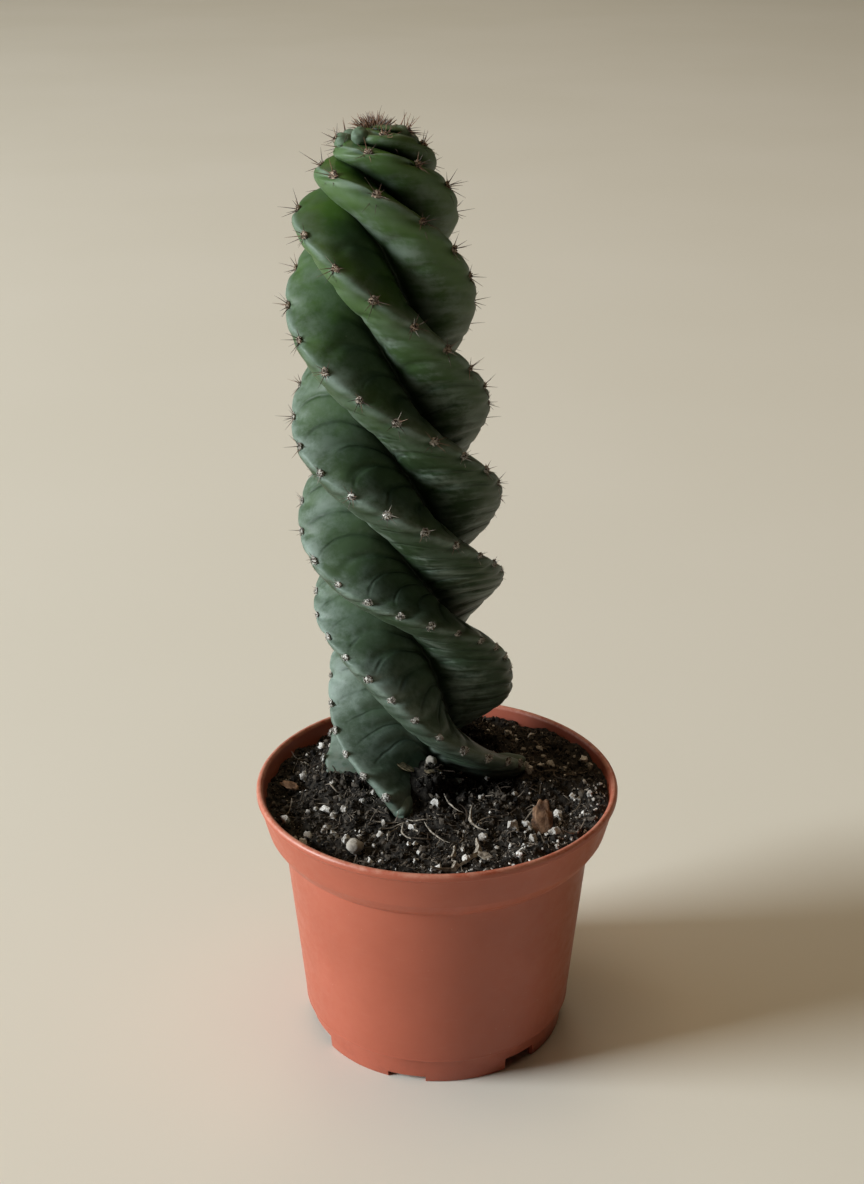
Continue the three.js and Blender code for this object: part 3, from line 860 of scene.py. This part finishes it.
# %% Where the areoles sit on the finished skin
def on_edge(rib, height):
    """A point on a rib's edge in metres, with the way out of the surface and the way along the edge."""
    column = COLUMNS.index((rib, 0.0))
    row = np.interp(height, HEIGHTS, np.arange(rows))
    line = skin[:, column] * MM
    at = lambda place: Vector([np.interp(place, np.arange(rows), line[:, axis]) for axis in range(3)])
    axis = Vector((float(station(1, height)), float(station(2, height)), height)) * MM
    point = at(row)
    along = (at(row + 0.5) - at(row - 0.5)).normalized()
    climb = float(np.clip((height - CROWN_HEIGHT) / (STEM_TOP - CROWN_HEIGHT), 0, 1))
    out = point - axis
    out.z = out.length * 1.1 * climb**2
    out = (out - along * out.dot(along)).normalized()
    return point, out, along


# %% Placing a copy
def placed(point, out, roll, size):
    place = Matrix.Translation(point) @ pointing(out) @ Matrix.Rotation(roll, 4, "Z")
    return place @ Matrix.Diagonal((*size, 1))


# %% The soil's height, because an areole under the soil is left out
STEM_X, STEM_Y = -4.5, 13.5  # the middle of the stem's foot
SOIL_TILT = 0.9  # mm, up towards the right
SOIL_HEAPS = [(STEM_X, STEM_Y, 2.6, 28, 46), (-6, -3, 8, 6, 14)]  # round the stem, in its front groove
SOIL_HOLLOWS = [(42, -9, 3.6, 6, 9), (29, 1, 2.4, 8, 8)]  # x, y, depth and half widths, in mm
SOIL_BANK = (1.3, 52, 4)  # height, radius and half width, against the wall at the right
SOIL_LUMPS = [(9, 2.0), (3.6, 1.8), (1.4, 0.9)]  # width and height in mm


def soil_surface(x, y):
    """Height of the soil in mm, from its tilt, heaps, hollows, bank and lumps."""
    height = SOIL_HEIGHT + SOIL_TILT * x / RIM_RADIUS
    for middle_x, middle_y, rise, inner, outer in SOIL_HEAPS:
        away = math.hypot(x - middle_x, y - middle_y)
        height += rise * (1 - float(smoothstep(away, inner, outer)))
    for middle_x, middle_y, depth, wide, deep in SOIL_HOLLOWS:
        height -= depth * math.exp(-(((x - middle_x) / wide) ** 2) - ((y - middle_y) / deep) ** 2)
    rise, radius, wide = SOIL_BANK
    bank = rise * math.exp(-(((math.hypot(x, y) - radius) / wide) ** 2))
    height += bank * float(smoothstep(x - 0.6 * y, 10, 50))
    return height + sum(rise * noise.noise(Vector((x, y, 4 + size)) / size) for size, rise in SOIL_LUMPS)


def on_soil(x, y, lift):
    """The spot at or over the soil's surface, in metres."""
    return Vector((x, y, soil_surface(x, y) + lift)) * MM


# %% Pads and spines at an areole
pad_places = []
spine_places = []
grey_places = []
draw = random.Random(21)


def add_areole(point, out, along, youth, radius):
    """A felt pad with its spines: few and short on old skin, many and long on young skin."""
    pad_places.append(placed(point, out, draw.uniform(0, 6), (radius, radius, radius)))
    count = draw.choice([0, 1, 1, 2, 3]) if youth < 0.25 else draw.choice([5, 6, 7, 7, 8])
    for k in range(count):
        roll = 2 * math.pi * (k + draw.random() * 0.7) / max(count, 1)
        central = k == 0 and youth > 0.3
        lean = math.radians(draw.uniform(8, 25) if central else draw.uniform(35, 76))
        across = along.copy()
        across.rotate(Matrix.Rotation(roll, 3, out))
        aim = (out * math.cos(lean) + across * math.sin(lean)).normalized()
        length = (1.9 + 3.4 * youth) * draw.uniform(0.6, 1.15) * (1.3 if central else 1) * MM
        thickness = (2.6 + 1.4 * youth) * MM
        root = point + across * radius * 0.35
        place = placed(root, aim, draw.uniform(0, 6), (thickness, thickness, length))
        (grey_places if draw.random() < 0.12 + 0.4 * (1 - youth) else spine_places).append(place)


for rib in range(RIBS):
    for height in AREOLES[rib]:
        point, out, along = on_edge(rib, height)
        if point.z < (soil_surface(point.x / MM, point.y / MM) + 1.0) * MM:
            continue
        youth = float(smoothstep(point.z / MM, 120, 262))
        lift = 0.1 + 0.9 * float(smoothstep(height, 276, 292))
        add_areole(point + out * lift * MM, out, along, youth, 1.4 * draw.uniform(0.85, 1.15) * MM)

# %% [markdown]
# ## The growing tip
# At the very top the ribs run together, and new areoles crowd each other: a tuft of short reddish brown
# spines over pale wool, with a few round green knobs between them, each the start of the next rib step.
# The tuft is laid out like the seeds of a sunflower, which fills a dome evenly without any gaps. The
# same knob, drawn out, makes the blunt ends of the two front ribs in the soil.

# %% Tip
TIP_KNOBS = [  # place in mm, radius in mm, whether it carries spines
    ((-21.6, -10.4, 301.6), 2.6, False),
    ((-26.5, -4.5, 298.8), 3.0, True),
    ((-10.4, -4.5, 300.6), 3.2, True),
    ((-14.5, -8.6, 299.8), 2.6, True),
    ((-18.5, 3.5, 300.0), 3.2, True),
    ((-25.0, 2.5, 298.8), 2.8, True),
    ((-12.5, 2.5, 300.0), 2.8, True),
]
RIB_FEET = [  # where the front ribs end in the soil: place in mm, way out and half sizes in mm
    ((23.6, 13.6, 89.4), (1, 0.02, -0.04), (3.1, 3.2, 6.2)),
    ((-10.6, -15.6, 88.6), (-0.16, -0.93, -0.3), (2.5, 2.9, 5.0)),
]
TUFT_RADIUS = 4.3
TUFT_FALL = 1.0  # how far the dome falls under the tuft
TUFT_SPINES = 170
TUFT_PADS = 40
GOLDEN_ANGLE = 2.39996


def model_knob():
    """A plump knob of radius 1, a little taller than wide and dimpled on top."""
    knob = plain_form(bpy.ops.mesh.primitive_uv_sphere_add, "knob_model",
                      segments=32, ring_count=20, radius=1)
    points = coordinates(knob.data)
    dimple = np.exp(-(points[:, 0] ** 2 + points[:, 1] ** 2) / 0.12) * (points[:, 2] > 0)
    points[:, 2] = points[:, 2] * 1.1 - 0.16 * dimple
    lumps = np.array([1 + 0.10 * noise.noise(Vector(p) * 1.7) for p in points])
    place_vertices(knob.data, points * lumps[:, None])
    return knob


# %% Place the knobs and the rib feet
knob_model = model_knob()
tip_centre = Vector(skin[-1].mean(axis=0)) * MM
knob_places = []
for place, radius, spiny in TIP_KNOBS:
    place = Vector(place) * MM
    lean = (place - tip_centre + Vector((0, 0, 9 * MM))).normalized()
    knob_places.append(placed(place, lean, draw.uniform(0, 6), (radius * MM,) * 3))
    if spiny:
        add_areole(place + lean * radius * 0.95 * MM, lean, lean.orthogonal(), 1.0, 1.1 * MM)
knobs = gather(knob_model, knob_places, "tip_knobs", draw)
smooth(knobs)
finish(knobs, skin_finish)
foot_places = []
for place, way, sizes in RIB_FEET:
    way = Vector(way).normalized()
    foot_places.append(placed(Vector(place) * MM, way, 0, [size * MM for size in sizes]))
feet = gather(knob_model, foot_places, "rib_feet", draw)
smooth(feet)
finish(feet, skin_finish)
discard(knob_model)


# %% The tuft
def on_dome(k, count):
    """A spot under the tuft: the k-th of a spiral like a sunflower's, with its way outwards."""
    spread = math.sqrt((k + 0.5) / count)
    level = Vector((math.cos(k * GOLDEN_ANGLE), math.sin(k * GOLDEN_ANGLE), 0))
    fall = Vector((0, 0, TUFT_FALL * spread**2))
    return tip_centre + (level * spread * TUFT_RADIUS - fall) * MM, level * spread


for k in range(TUFT_SPINES):
    root, outwards = on_dome(k, TUFT_SPINES)
    aim = (outwards * 1.1 + Vector((0, 0, 1))).normalized()
    aim = (aim + Vector([draw.gauss(0, 0.25) for _ in range(3)])).normalized()
    place = placed(root, aim, draw.uniform(0, 6), (5.0 * MM, 5.0 * MM, draw.uniform(1.8, 4.4) * MM))
    (grey_places if k % 5 == 0 else spine_places).append(place)
for k in range(TUFT_PADS):
    root, outwards = on_dome(k, TUFT_PADS)
    pad_places.append(placed(root, (outwards + Vector((0, 0, 1.2))).normalized(), k, (1.15 * MM,) * 3))


# %% [markdown]
# ## Finishes of felt and spines
# The felt is pale beige grey, darker inside. The spines run from dark brown at the foot to a paler
# tip, and old ones have bleached to grey.

# %% Felt and spine finishes
def felt():
    tone = attribute("tone")
    fluff = noise_value(0.9, detail=4, rough=0.7)
    young = height_value(190, 260)
    pale = mix(young, (0.66, 0.64, 0.58), (0.44, 0.34, 0.25))
    shown = between(fluff, 0.43, 0.52)
    colour = coats((0.04, 0.034, 0.026), (shown, pale), (tone * 0.45, (0.16, 0.13, 0.10)))
    return {"Base Color": colour, "Normal": bump(fluff, 0.1)}


def spine_brown():
    tone = attribute("tone")
    streak = noise_value(1.1, detail=3)
    tuft = height_value(299.5, 303) * between(tone, 0.1, 0.6)
    colour = coats(
        (0.020, 0.009, 0.006),
        (between(streak, 0.35, 0.65), (0.085, 0.040, 0.024)),
        (between(tone, 0.6, 0.9) * 0.7, (0.28, 0.155, 0.10)),
        (tuft * 0.7, (0.33, 0.17, 0.095)),
    )
    return {"Base Color": colour, "Normal": bump(streak, 0.02)}


def spine_grey():
    tone = attribute("tone")
    streak = noise_value(1.3, detail=3)
    bleached = (streak, (0.52, 0.48, 0.42))
    colour = coats((0.16, 0.13, 0.10), bleached, (tone * 0.4, (0.12, 0.085, 0.06)))
    return {"Base Color": colour, "Normal": bump(streak, 0.02)}


felt_finish = new_finish("felt", felt, Roughness=0.95, Specular_IOR_Level=0.15)
brown_finish = new_finish("spine_brown", spine_brown, Roughness=0.42)
grey_finish = new_finish("spine_grey", spine_grey, Roughness=0.6)

pad_model = model_pad()
spine_model = model_spine()
for piece, look in (
    (gather(pad_model, pad_places, "areole_felt", draw), felt_finish),
    (gather(spine_model, spine_places, "spines_brown", draw), brown_finish),
    (gather(spine_model, grey_places, "spines_grey", draw), grey_finish),
):
    smooth(piece)
    finish(piece, look)
discard(pad_model)
discard(spine_model)

# %% [markdown]
# ## The soil
# Potting mix is dark peat in crumbs of every size, with fibres, bits of bark and white perlite. A
# turned body gives its surface. Relief alone would leave soft lumps, so crumbs, fibres and grains are
# strewn over it by rule: their small sharp shadows are what makes it look like soil.

# %% Soil body
SOIL_EDGE = 57.0
SOIL_SIDES = 200
SOIL_RINGS = 105


def shape_soil():
    wall = [(42.2, 5.8), (43.6, 10.6), (49.6, 70.8), (52.5, 73.9), (54.7, 77.1), (55.8, 80.4)]
    surface = [(SOIL_EDGE * (1 - k / SOIL_RINGS), SOIL_HEIGHT) for k in range(SOIL_RINGS)]
    soil = turned([*wall, *surface], SOIL_SIDES, "soil_body")
    close_rings(soil)
    points = coordinates(soil.data)
    for point in points:
        if point[2] > 80 * MM:
            point[2] = soil_surface(point[0] / MM, point[1] / MM) * MM
    place_vertices(soil.data, points)
    smooth(soil, 60)
    return soil


# %% Crumbs, fibres and grains
def rough_ball(name, detail, roughness, seed):
    """A ball of radius 1 with a broken surface."""
    ball = plain_form(bpy.ops.mesh.primitive_ico_sphere_add, name, subdivisions=detail, radius=1)
    points = coordinates(ball.data)
    shift = Vector((seed * 7.3, seed * 3.1, seed * 5.7))
    lumps = np.array([1 + roughness * noise.noise(Vector(p) * 1.6 + shift) for p in points])
    place_vertices(ball.data, points * lumps[:, None])
    return ball


def model_fibre(name, bow, seed):
    """A thin strand of length 1 along X: a prism cut into pieces and bent."""
    fibre = plain_form(bpy.ops.mesh.primitive_cylinder_add, name,
                       vertices=4, radius=0.034, depth=1, rotation=(0, math.pi / 2, 0))
    with editing(fibre):
        for place in np.linspace(-0.5, 0.5, 8)[1:-1]:
            bpy.ops.mesh.select_all(action="SELECT")
            bpy.ops.mesh.bisect(plane_co=(place, 0, 0), plane_no=(1, 0, 0))
    points = coordinates(fibre.data)
    for point in points:
        x = point[0]
        point[1:] *= 1.1 - 1.5 * abs(x)
        point[1] += bow * (x * x - 0.08) + 0.10 * noise.noise(Vector((x * 3, seed, 0)))
        point[2] += 0.08 * noise.noise(Vector((x * 3, 0, seed))) + 0.05
    place_vertices(fibre.data, points)
    return fibre


# %% Where things may lie
foot_row = skin[np.searchsorted(HEIGHTS, 88)]  # the stem's section just above the soil
foot_x, foot_y = foot_row[:, 0] - STEM_X, foot_row[:, 1] - STEM_Y
foot_angles = np.arctan2(foot_y, foot_x)
foot_order = np.argsort(foot_angles)
foot_outline = foot_angles[foot_order], np.hypot(foot_y, foot_x)[foot_order]


def in_stem(x, y, margin):
    """Whether a spot on the soil is inside the stem's foot, or within a margin of it."""
    dx, dy = x - STEM_X, y - STEM_Y
    reach = np.interp(math.atan2(dy, dx), *foot_outline, period=2 * math.pi)
    return math.hypot(dx, dy) < reach + margin


def anywhere(x, y):
    return True


def right_bank(x, y):
    return math.hypot(x, y) > 45 and x > 5 and y < 4


# %% Strewing by rule
CRUMBS_WITHIN = 56.3  # mm from the pot's axis
FIBRES_WITHIN = 53
FIBRE_LIFT = 0.5
FIBRE_TILT = 0.25  # in radians, as a spread


def strew(count, sizes, sink, seed, margin=0.0, bias=2.0, keep=anywhere):
    """Placings for crumbs on the soil: most are small, and all are turned at random."""
    draw = random.Random(seed)
    places = []
    while len(places) < count:
        spot = facing(draw.uniform(0, 360)) * CRUMBS_WITHIN * math.sqrt(draw.random())
        if in_stem(spot.x, spot.y, margin) or not keep(spot.x, spot.y):
            continue
        size = sizes[0] + (sizes[1] - sizes[0]) * draw.random() ** bias
        turn = Euler([draw.uniform(0, 6.3) for _ in range(3)]).to_matrix().to_4x4()
        squash = Matrix.Diagonal((draw.uniform(0.7, 1.25), draw.uniform(0.7, 1.1), 1, 1))
        place = Matrix.Translation(on_soil(spot.x, spot.y, size * sink))
        places.append(place @ turn @ squash @ Matrix.Scale(size * MM, 4))
    return places


def strew_fibres(count, lengths, seed):
    """Placings for fibres, which lie nearly level."""
    draw = random.Random(seed)
    places = []
    while len(places) < count:
        spot = facing(draw.uniform(0, 360)) * FIBRES_WITHIN * math.sqrt(draw.random())
        if in_stem(spot.x, spot.y, -1):
            continue
        length = draw.uniform(*lengths)
        angles = (draw.uniform(0, 6.3), draw.gauss(0, FIBRE_TILT), draw.uniform(0, 6.3))
        turn = Euler(angles).to_matrix().to_4x4()
        place = Matrix.Translation(on_soil(spot.x, spot.y, FIBRE_LIFT))
        thick = draw.uniform(0.5, 1.1)
        stretch = Matrix.Diagonal((length * MM, length * MM * thick, length * MM * thick, 1))
        places.append(place @ turn @ stretch)
    return places


# %% [markdown]
# ## Finishes of the soil
# Peat is nearly black and brown: on the soil's surface its hollows get painted shade and its tops
# painted light, following the relief. The perlite is chalky and pitted, the fibres are pale straw to
# brown. Many plain things need no more than two colours in a noise pattern that also gives their
# relief, so one helper makes such a finish.

# %% Soil finishes
def grain_finish(name, pattern, dark, pale, relief, span=(0.35, 0.65), **constants):
    """A finish of two colours in one noise pattern, which also gives the relief."""
    def build():
        grain = noise_value(**pattern)
        colour = mix(between(grain, *span), dark, pale)
        return {"Base Color": colour, "Normal": bump(grain, relief)}

    return new_finish(name, build, **constants)


def crumb():
    tone = attribute("tone")
    clump = noise_value(0.8, detail=6, rough=0.7)
    colour = coats(
        (0.005, 0.0043, 0.0034),
        (between(tone, 0.1, 0.8), (0.092, 0.075, 0.057)),
        (between(tone, 0.9, 1.0), (0.17, 0.145, 0.115)),
        (between(clump, 0.4, 0.7) * 0.5, (0.022, 0.017, 0.013)),
    )
    return {"Base Color": colour, "Normal": bump(clump, 0.25)}


def chalky():
    tone = attribute("tone")
    pits = noise_value(0.5, detail=5, rough=0.7)
    dirt = noise_value(1.6, detail=4)
    colour = coats(
        (0.34, 0.31, 0.27),
        (between(pits, 0.35, 0.55), (0.80, 0.77, 0.71)),
        (between(dirt, 0.5, 0.68) * 0.7, (0.20, 0.155, 0.115)),
        (between(tone, 0.2, 0.9) * 0.65, (0.27, 0.24, 0.20)),
    )
    return {"Base Color": colour, "Normal": bump(pits, 0.3)}


def straw():
    tone = attribute("tone")
    streak = noise_value(1.5, detail=4)
    colour = coats(
        (0.05, 0.036, 0.026),
        (between(tone, 0.2, 1.0), (0.26, 0.215, 0.165)),
        (between(streak, 0.45, 0.65) * 0.5, (0.07, 0.05, 0.035)),
    )
    return {"Base Color": colour, "Normal": bump(streak, 0.08)}


clumps = {"size": 2.2, "detail": 9, "rough": 0.75}
# the peat's dark colour is painted shade in the relief's hollows, its pale colour painted light on the
# tops
peat_finish = grain_finish("peat", clumps, (0.004, 0.0035, 0.0028), (0.050, 0.043, 0.034), 0.6,
                           (0.35, 0.7), Roughness=0.95, Specular_IOR_Level=0.2)
crumb_finish = new_finish("crumb", crumb, Roughness=0.92, Specular_IOR_Level=0.25)
perlite_finish = new_finish("chalky_perlite", chalky, Roughness=0.9, Specular_IOR_Level=0.3)
straw_finish = new_finish("straw", straw, Roughness=0.9, Specular_IOR_Level=0.2)

soil = finish(shape_soil(), peat_finish, ["soil"])

# %% Strew the soil
draw = random.Random(33)
crumb_models = [rough_ball("crumb_model", 1, 0.9, seed) for seed in (1, 2, 4)]
for name, kind, places, slot, look in (
    ("soil_dust", 0, strew(9400, (0.12, 0.55), 0.3, 51), "soil", crumb_finish),
    ("soil_crumbs", 1, strew(1500, (0.4, 1.3), 0.25, 52, bias=2.6), "soil", crumb_finish),
    ("perlite_dust", 2, strew(240, (0.1, 0.4), 0.5, 54), "perlite", perlite_finish),
    ("perlite_bank", 2, strew(230, (0.15, 0.7), 0.5, 55, keep=right_bank), "perlite", perlite_finish),
):
    finish(gather(crumb_models[kind], places, name, draw), look)
grain_model = rough_ball("grain_model", 2, 0.75, 3)
grain_places = strew(210, (0.35, 1.8), 0.4, 53, margin=0.8, bias=2.3)
grains = gather(grain_model, grain_places, "perlite_grains", draw)
smooth(grains, 50)
finish(grains, perlite_finish)
for name, bow, count, lengths, seed in (
    ("fibres_short", 0.9, 900, (1.6, 5), 61),
    ("fibres_long", 1.5, 90, (6, 12), 62),
):
    fibre_model = model_fibre(name + "_model", bow, seed)
    fibres = gather(fibre_model, strew_fibres(count, lengths, seed), name, draw)
    finish(fibres, straw_finish)
    discard(fibre_model)
for model in (*crumb_models, grain_model):
    discard(model)

# %% [markdown]
# ## Loose things on the soil
# Two chips of bark, a pebble, a large lump of perlite, a scrap of dry leaf and two twigs lie on the
# soil. Each stays where the frame has it, so its box gives its place, and for the pebble, the lump and
# the twigs also its size. A chip is a ball that is squashed flat, because a flat card would show no
# thickness against the dark soil.

# %% Loose things
def node_box(name):
    low, high = (Vector(corner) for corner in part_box(name))
    return (low + high) / 2, high - low


def model_stone(name, size, seed):
    stone = rough_ball(name, 3, 0.35, seed)
    stone.data.transform(Matrix.Diagonal((size.x / 2, size.y / 2, size.z / 2, 1)))
    smooth(stone, 60)
    return stone


def model_chip(name, length, width, thick, heading, tilt, seed):
    """A flake: a rough ball squashed flat, with a ragged outline."""
    chip = rough_ball(name, 4, 0.32, seed)
    points = coordinates(chip.data)
    for point in points:
        ragged = 1 + 0.15 * noise.noise(Vector((point[0] * 2.5, point[1] * 2.5, seed)))
        point[0] *= width / 2 * ragged
        point[1] *= length / 2 * ragged
        point[2] = point[2] * thick / 2 + 0.25 * noise.noise(Vector((point[0] / 2, point[1] / 3, seed)))
    place_vertices(chip.data, points * MM)
    turn = Euler((math.radians(tilt), 0, math.radians(heading)), "XYZ").to_matrix().to_4x4()
    chip.data.transform(turn)
    smooth(chip, 40)
    return chip


def move_to(piece, centre):
    points = coordinates(piece.data)
    middle = Vector((points.max(axis=0) + points.min(axis=0)) / 2)
    piece.data.transform(Matrix.Translation(centre - middle))
    return piece


# %% Finishes of the loose things
def stone_grey():
    vein = noise_value(1.6, detail=7, rough=0.65)
    colour = mix(vein, (0.17, 0.14, 0.10), (0.50, 0.46, 0.40))
    return {"Base Color": colour, "Normal": bump(vein, 0.2)}


flakes = {"size": 2.6, "detail": 8, "rough": 0.7, "stretch": (1, 0.35, 1)}
strands = {"size": 1.1, "detail": 6, "rough": 0.65}
chaff = {"size": 1.4, "detail": 7, "rough": 0.65}
bark_finish = grain_finish("bark", flakes, (0.09, 0.045, 0.024), (0.33, 0.185, 0.10), 0.5,
                           Roughness=0.85)
root_finish = grain_finish("root_pale", strands, (0.10, 0.08, 0.06), (0.40, 0.35, 0.28), 0.15,
                           Roughness=0.9, Specular_IOR_Level=0.2)
pebble_finish = new_finish("pebble", stone_grey, Roughness=0.8)
litter_finish = grain_finish("dry_litter", chaff, (0.08, 0.055, 0.03), (0.36, 0.29, 0.17), 0.2,
                             Roughness=0.85)

# %% Make the loose things
for name, length, width, thick, heading, tilt, seed in (
    ("bark_chip", 12, 6.4, 1.4, 8, 66, 11),
    ("bark_chip_small", 7, 4, 1.2, 60, 8, 12),
):
    chip = model_chip(name + "_flake", length, width, thick, heading, tilt, seed)
    finish(move_to(chip, node_box(name)[0]), bark_finish, [name])
for name, slot, look, seed in (
    ("pebble", "pebble", pebble_finish, 5),
    ("perlite_lump", "perlite", pebble_finish, 6),
):
    centre, size = node_box(name)
    finish(move_to(model_stone(name + "_body", size, seed), centre), look, [name])
scrap = model_chip("leaf_scrap_body", 6.4, 3.6, 0.9, -60, -14, 17)
finish(move_to(scrap, node_box("leaf_scrap")[0]), litter_finish, ["leaf_scrap"])
for name, heading, seed in (("twig_left", -21, 71), ("twig_right", -21, 72)):
    twig = model_fibre(name + "_strand", 0.5, seed)
    centre, size = node_box(name)
    length = math.hypot(size.x, size.y)
    twig.data.transform(Matrix.Diagonal((length, length * 2.4, length * 2.4, 1)))
    twig.data.transform(Matrix.Rotation(math.radians(90 + heading), 4, "Z"))
    smooth(twig, 60)
    finish(move_to(twig, centre + Vector((0, 0, 0.7 * MM))), root_finish, [name])

# %% [markdown]
# ## Roots and scraps
# Pale dead roots stick out of the mix in front of the stem, and two dry scraps lie between them. They
# aren't in the frame, being hardly a millimetre thick. They could be drawn as curves, but one bent
# strand, stretched from point to point, is a mesh from the start.

# %% Roots and scraps
ROOTS = [  # from (x, y) to (x, y), with a thickness, in mm
    (10.5, -17, 13.5, -29, 1.3), (-11, -23, -20, -28, 0.7), (-11, -23, -16, -32, 0.6),
    (-11, -24, -9, -35, 0.8), (-10, -23, -2, -30, 0.7), (-10, -22, -1, -23, 0.6),
    (-12, -22, -22, -23, 0.6), (-4, -27, 4, -36, 0.6), (2, -12, 8, -20, 0.6),
]
root_places = []
for x, y, far_x, far_y, thick in ROOTS:
    ends = [on_soil(x, y, 0.7), on_soil(far_x, far_y, 0.7)]
    way = ends[1] - ends[0]
    girth = thick * MM / 0.068  # the strand's own thickness is 0.068
    middle = Matrix.Translation(sum(ends, Vector()) / 2)
    root_places.append(middle @ pointing(way, "X", "Z") @ Matrix.Diagonal((way.length, girth, girth, 1)))
root_model = model_fibre("root_model", 0.5, 90)
roots = gather(root_model, root_places, "roots", draw)
smooth(roots, 60)
finish(roots, root_finish)
discard(root_model)
for name, x, y, lift, length, width, heading, tilt, look in (
    ("wood_shard", 16.6, -44.3, 0.8, 7, 3.6, 65, 12, root_finish),
    ("curled_scrap", -10.5, -5.5, 2.2, 7, 3.6, 80, 24, litter_finish),
):
    shard = model_chip(name, length, width, 0.8, heading, tilt, 19)
    finish(move_to(shard, on_soil(x, y, lift)), look)

# %% [markdown]
# ## Floor and light
# The plant stands on a plain warm-white floor that sweeps up behind it. A soft window light comes from
# the left and slightly from the front, with a wider and weaker one beside it. They are low enough to
# leave the right-hand flanks in shade and to draw a long soft shadow. A warm light from above and a
# faint glow from all round keep the shade open, and a lamp over the far floor keeps the background
# pale. A picture of a room could light it too, but these lamps can be moved one at a time.

# %% Floor
def shape_floor():
    floor = plain_form(bpy.ops.mesh.primitive_plane_add, "floor", size=1)
    place_vertices(floor.data, [(-9, -5, 0), (9, -5, 0), (-9, 8, 0), (9, 8, 0)])
    with editing(floor) as mesh:
        for edge in mesh.edges:
            edge.select = all(vertex.co.y > 7 for vertex in edge.verts)
        mesh.select_flush_mode()
        bpy.ops.mesh.extrude_region_move(TRANSFORM_OT_translate={"value": (0, 1.5, 0.5)})
        bpy.ops.mesh.extrude_region_move(TRANSFORM_OT_translate={"value": (0, 0.5, 3)})
    return floor


def paper():
    fine = noise_value(1.2, detail=3)
    cloud = noise_value(400, detail=2)
    colour = mix(between(cloud, 0.3, 0.7), (0.735, 0.70, 0.595), (0.755, 0.72, 0.62))
    return {"Base Color": colour, "Normal": bump(fine, 0.02)}


floor = shape_floor()
floor.data.materials.append(new_finish("paper", paper, Roughness=0.75))
print("floor of", len(floor.data.polygons), "faces")

# %% Lights
def spot(azimuth, climb, distance):
    """A place seen from the pot: azimuth from the left towards the front, and climb, in degrees."""
    level = math.cos(math.radians(climb)) * distance
    turn = math.radians(azimuth)
    return (-level * math.cos(turn), -level * math.sin(turn), math.sin(math.radians(climb)) * distance)


def area_light(name, place, target, size, watts, colour):
    data = bpy.data.lights.new(name, "AREA")
    data.shape = "RECTANGLE"
    data.size, data.size_y = size
    data.energy = watts
    data.color = colour
    light = bpy.data.objects.new(name, data)
    light.location = place
    light.rotation_euler = (Vector(target) - Vector(place)).to_track_quat("-Z", "Y").to_euler()
    scene.collection.objects.link(light)


area_light("window", spot(13, 22, 4.8), (0, 0, 0.1), (1.8, 1.6), 350, (0.88, 0.945, 1.0))
area_light("window_side", spot(-14, 18, 6.5), (0, 0, 0.1), (4, 2.4), 70, (0.93, 0.97, 1.0))
area_light("ceiling", (0.0, 0.3, 4.0), (0, 0, 0), (3.0, 3.0), 44, (1.0, 0.76, 0.50))
area_light("lamp_behind", (-0.4, 4.6, 3.5), (-0.4, 4.6, 0), (2, 2), 32, (1.0, 0.88, 0.68))
world = bpy.data.worlds.new("room")
world.use_nodes = True
world.node_tree.nodes["Background"].inputs["Color"].default_value = (1.0, 0.78, 0.55, 1)
world.node_tree.nodes["Background"].inputs["Strength"].default_value = 0.01
scene.world = world
scene.view_settings.view_transform = "Standard"
print(len(bpy.data.lights), "lights")

# %% [markdown]
# ## The last update
# The view layer is brought up to date at the end.

# %% Update the view layer
bpy.context.view_layer.update()
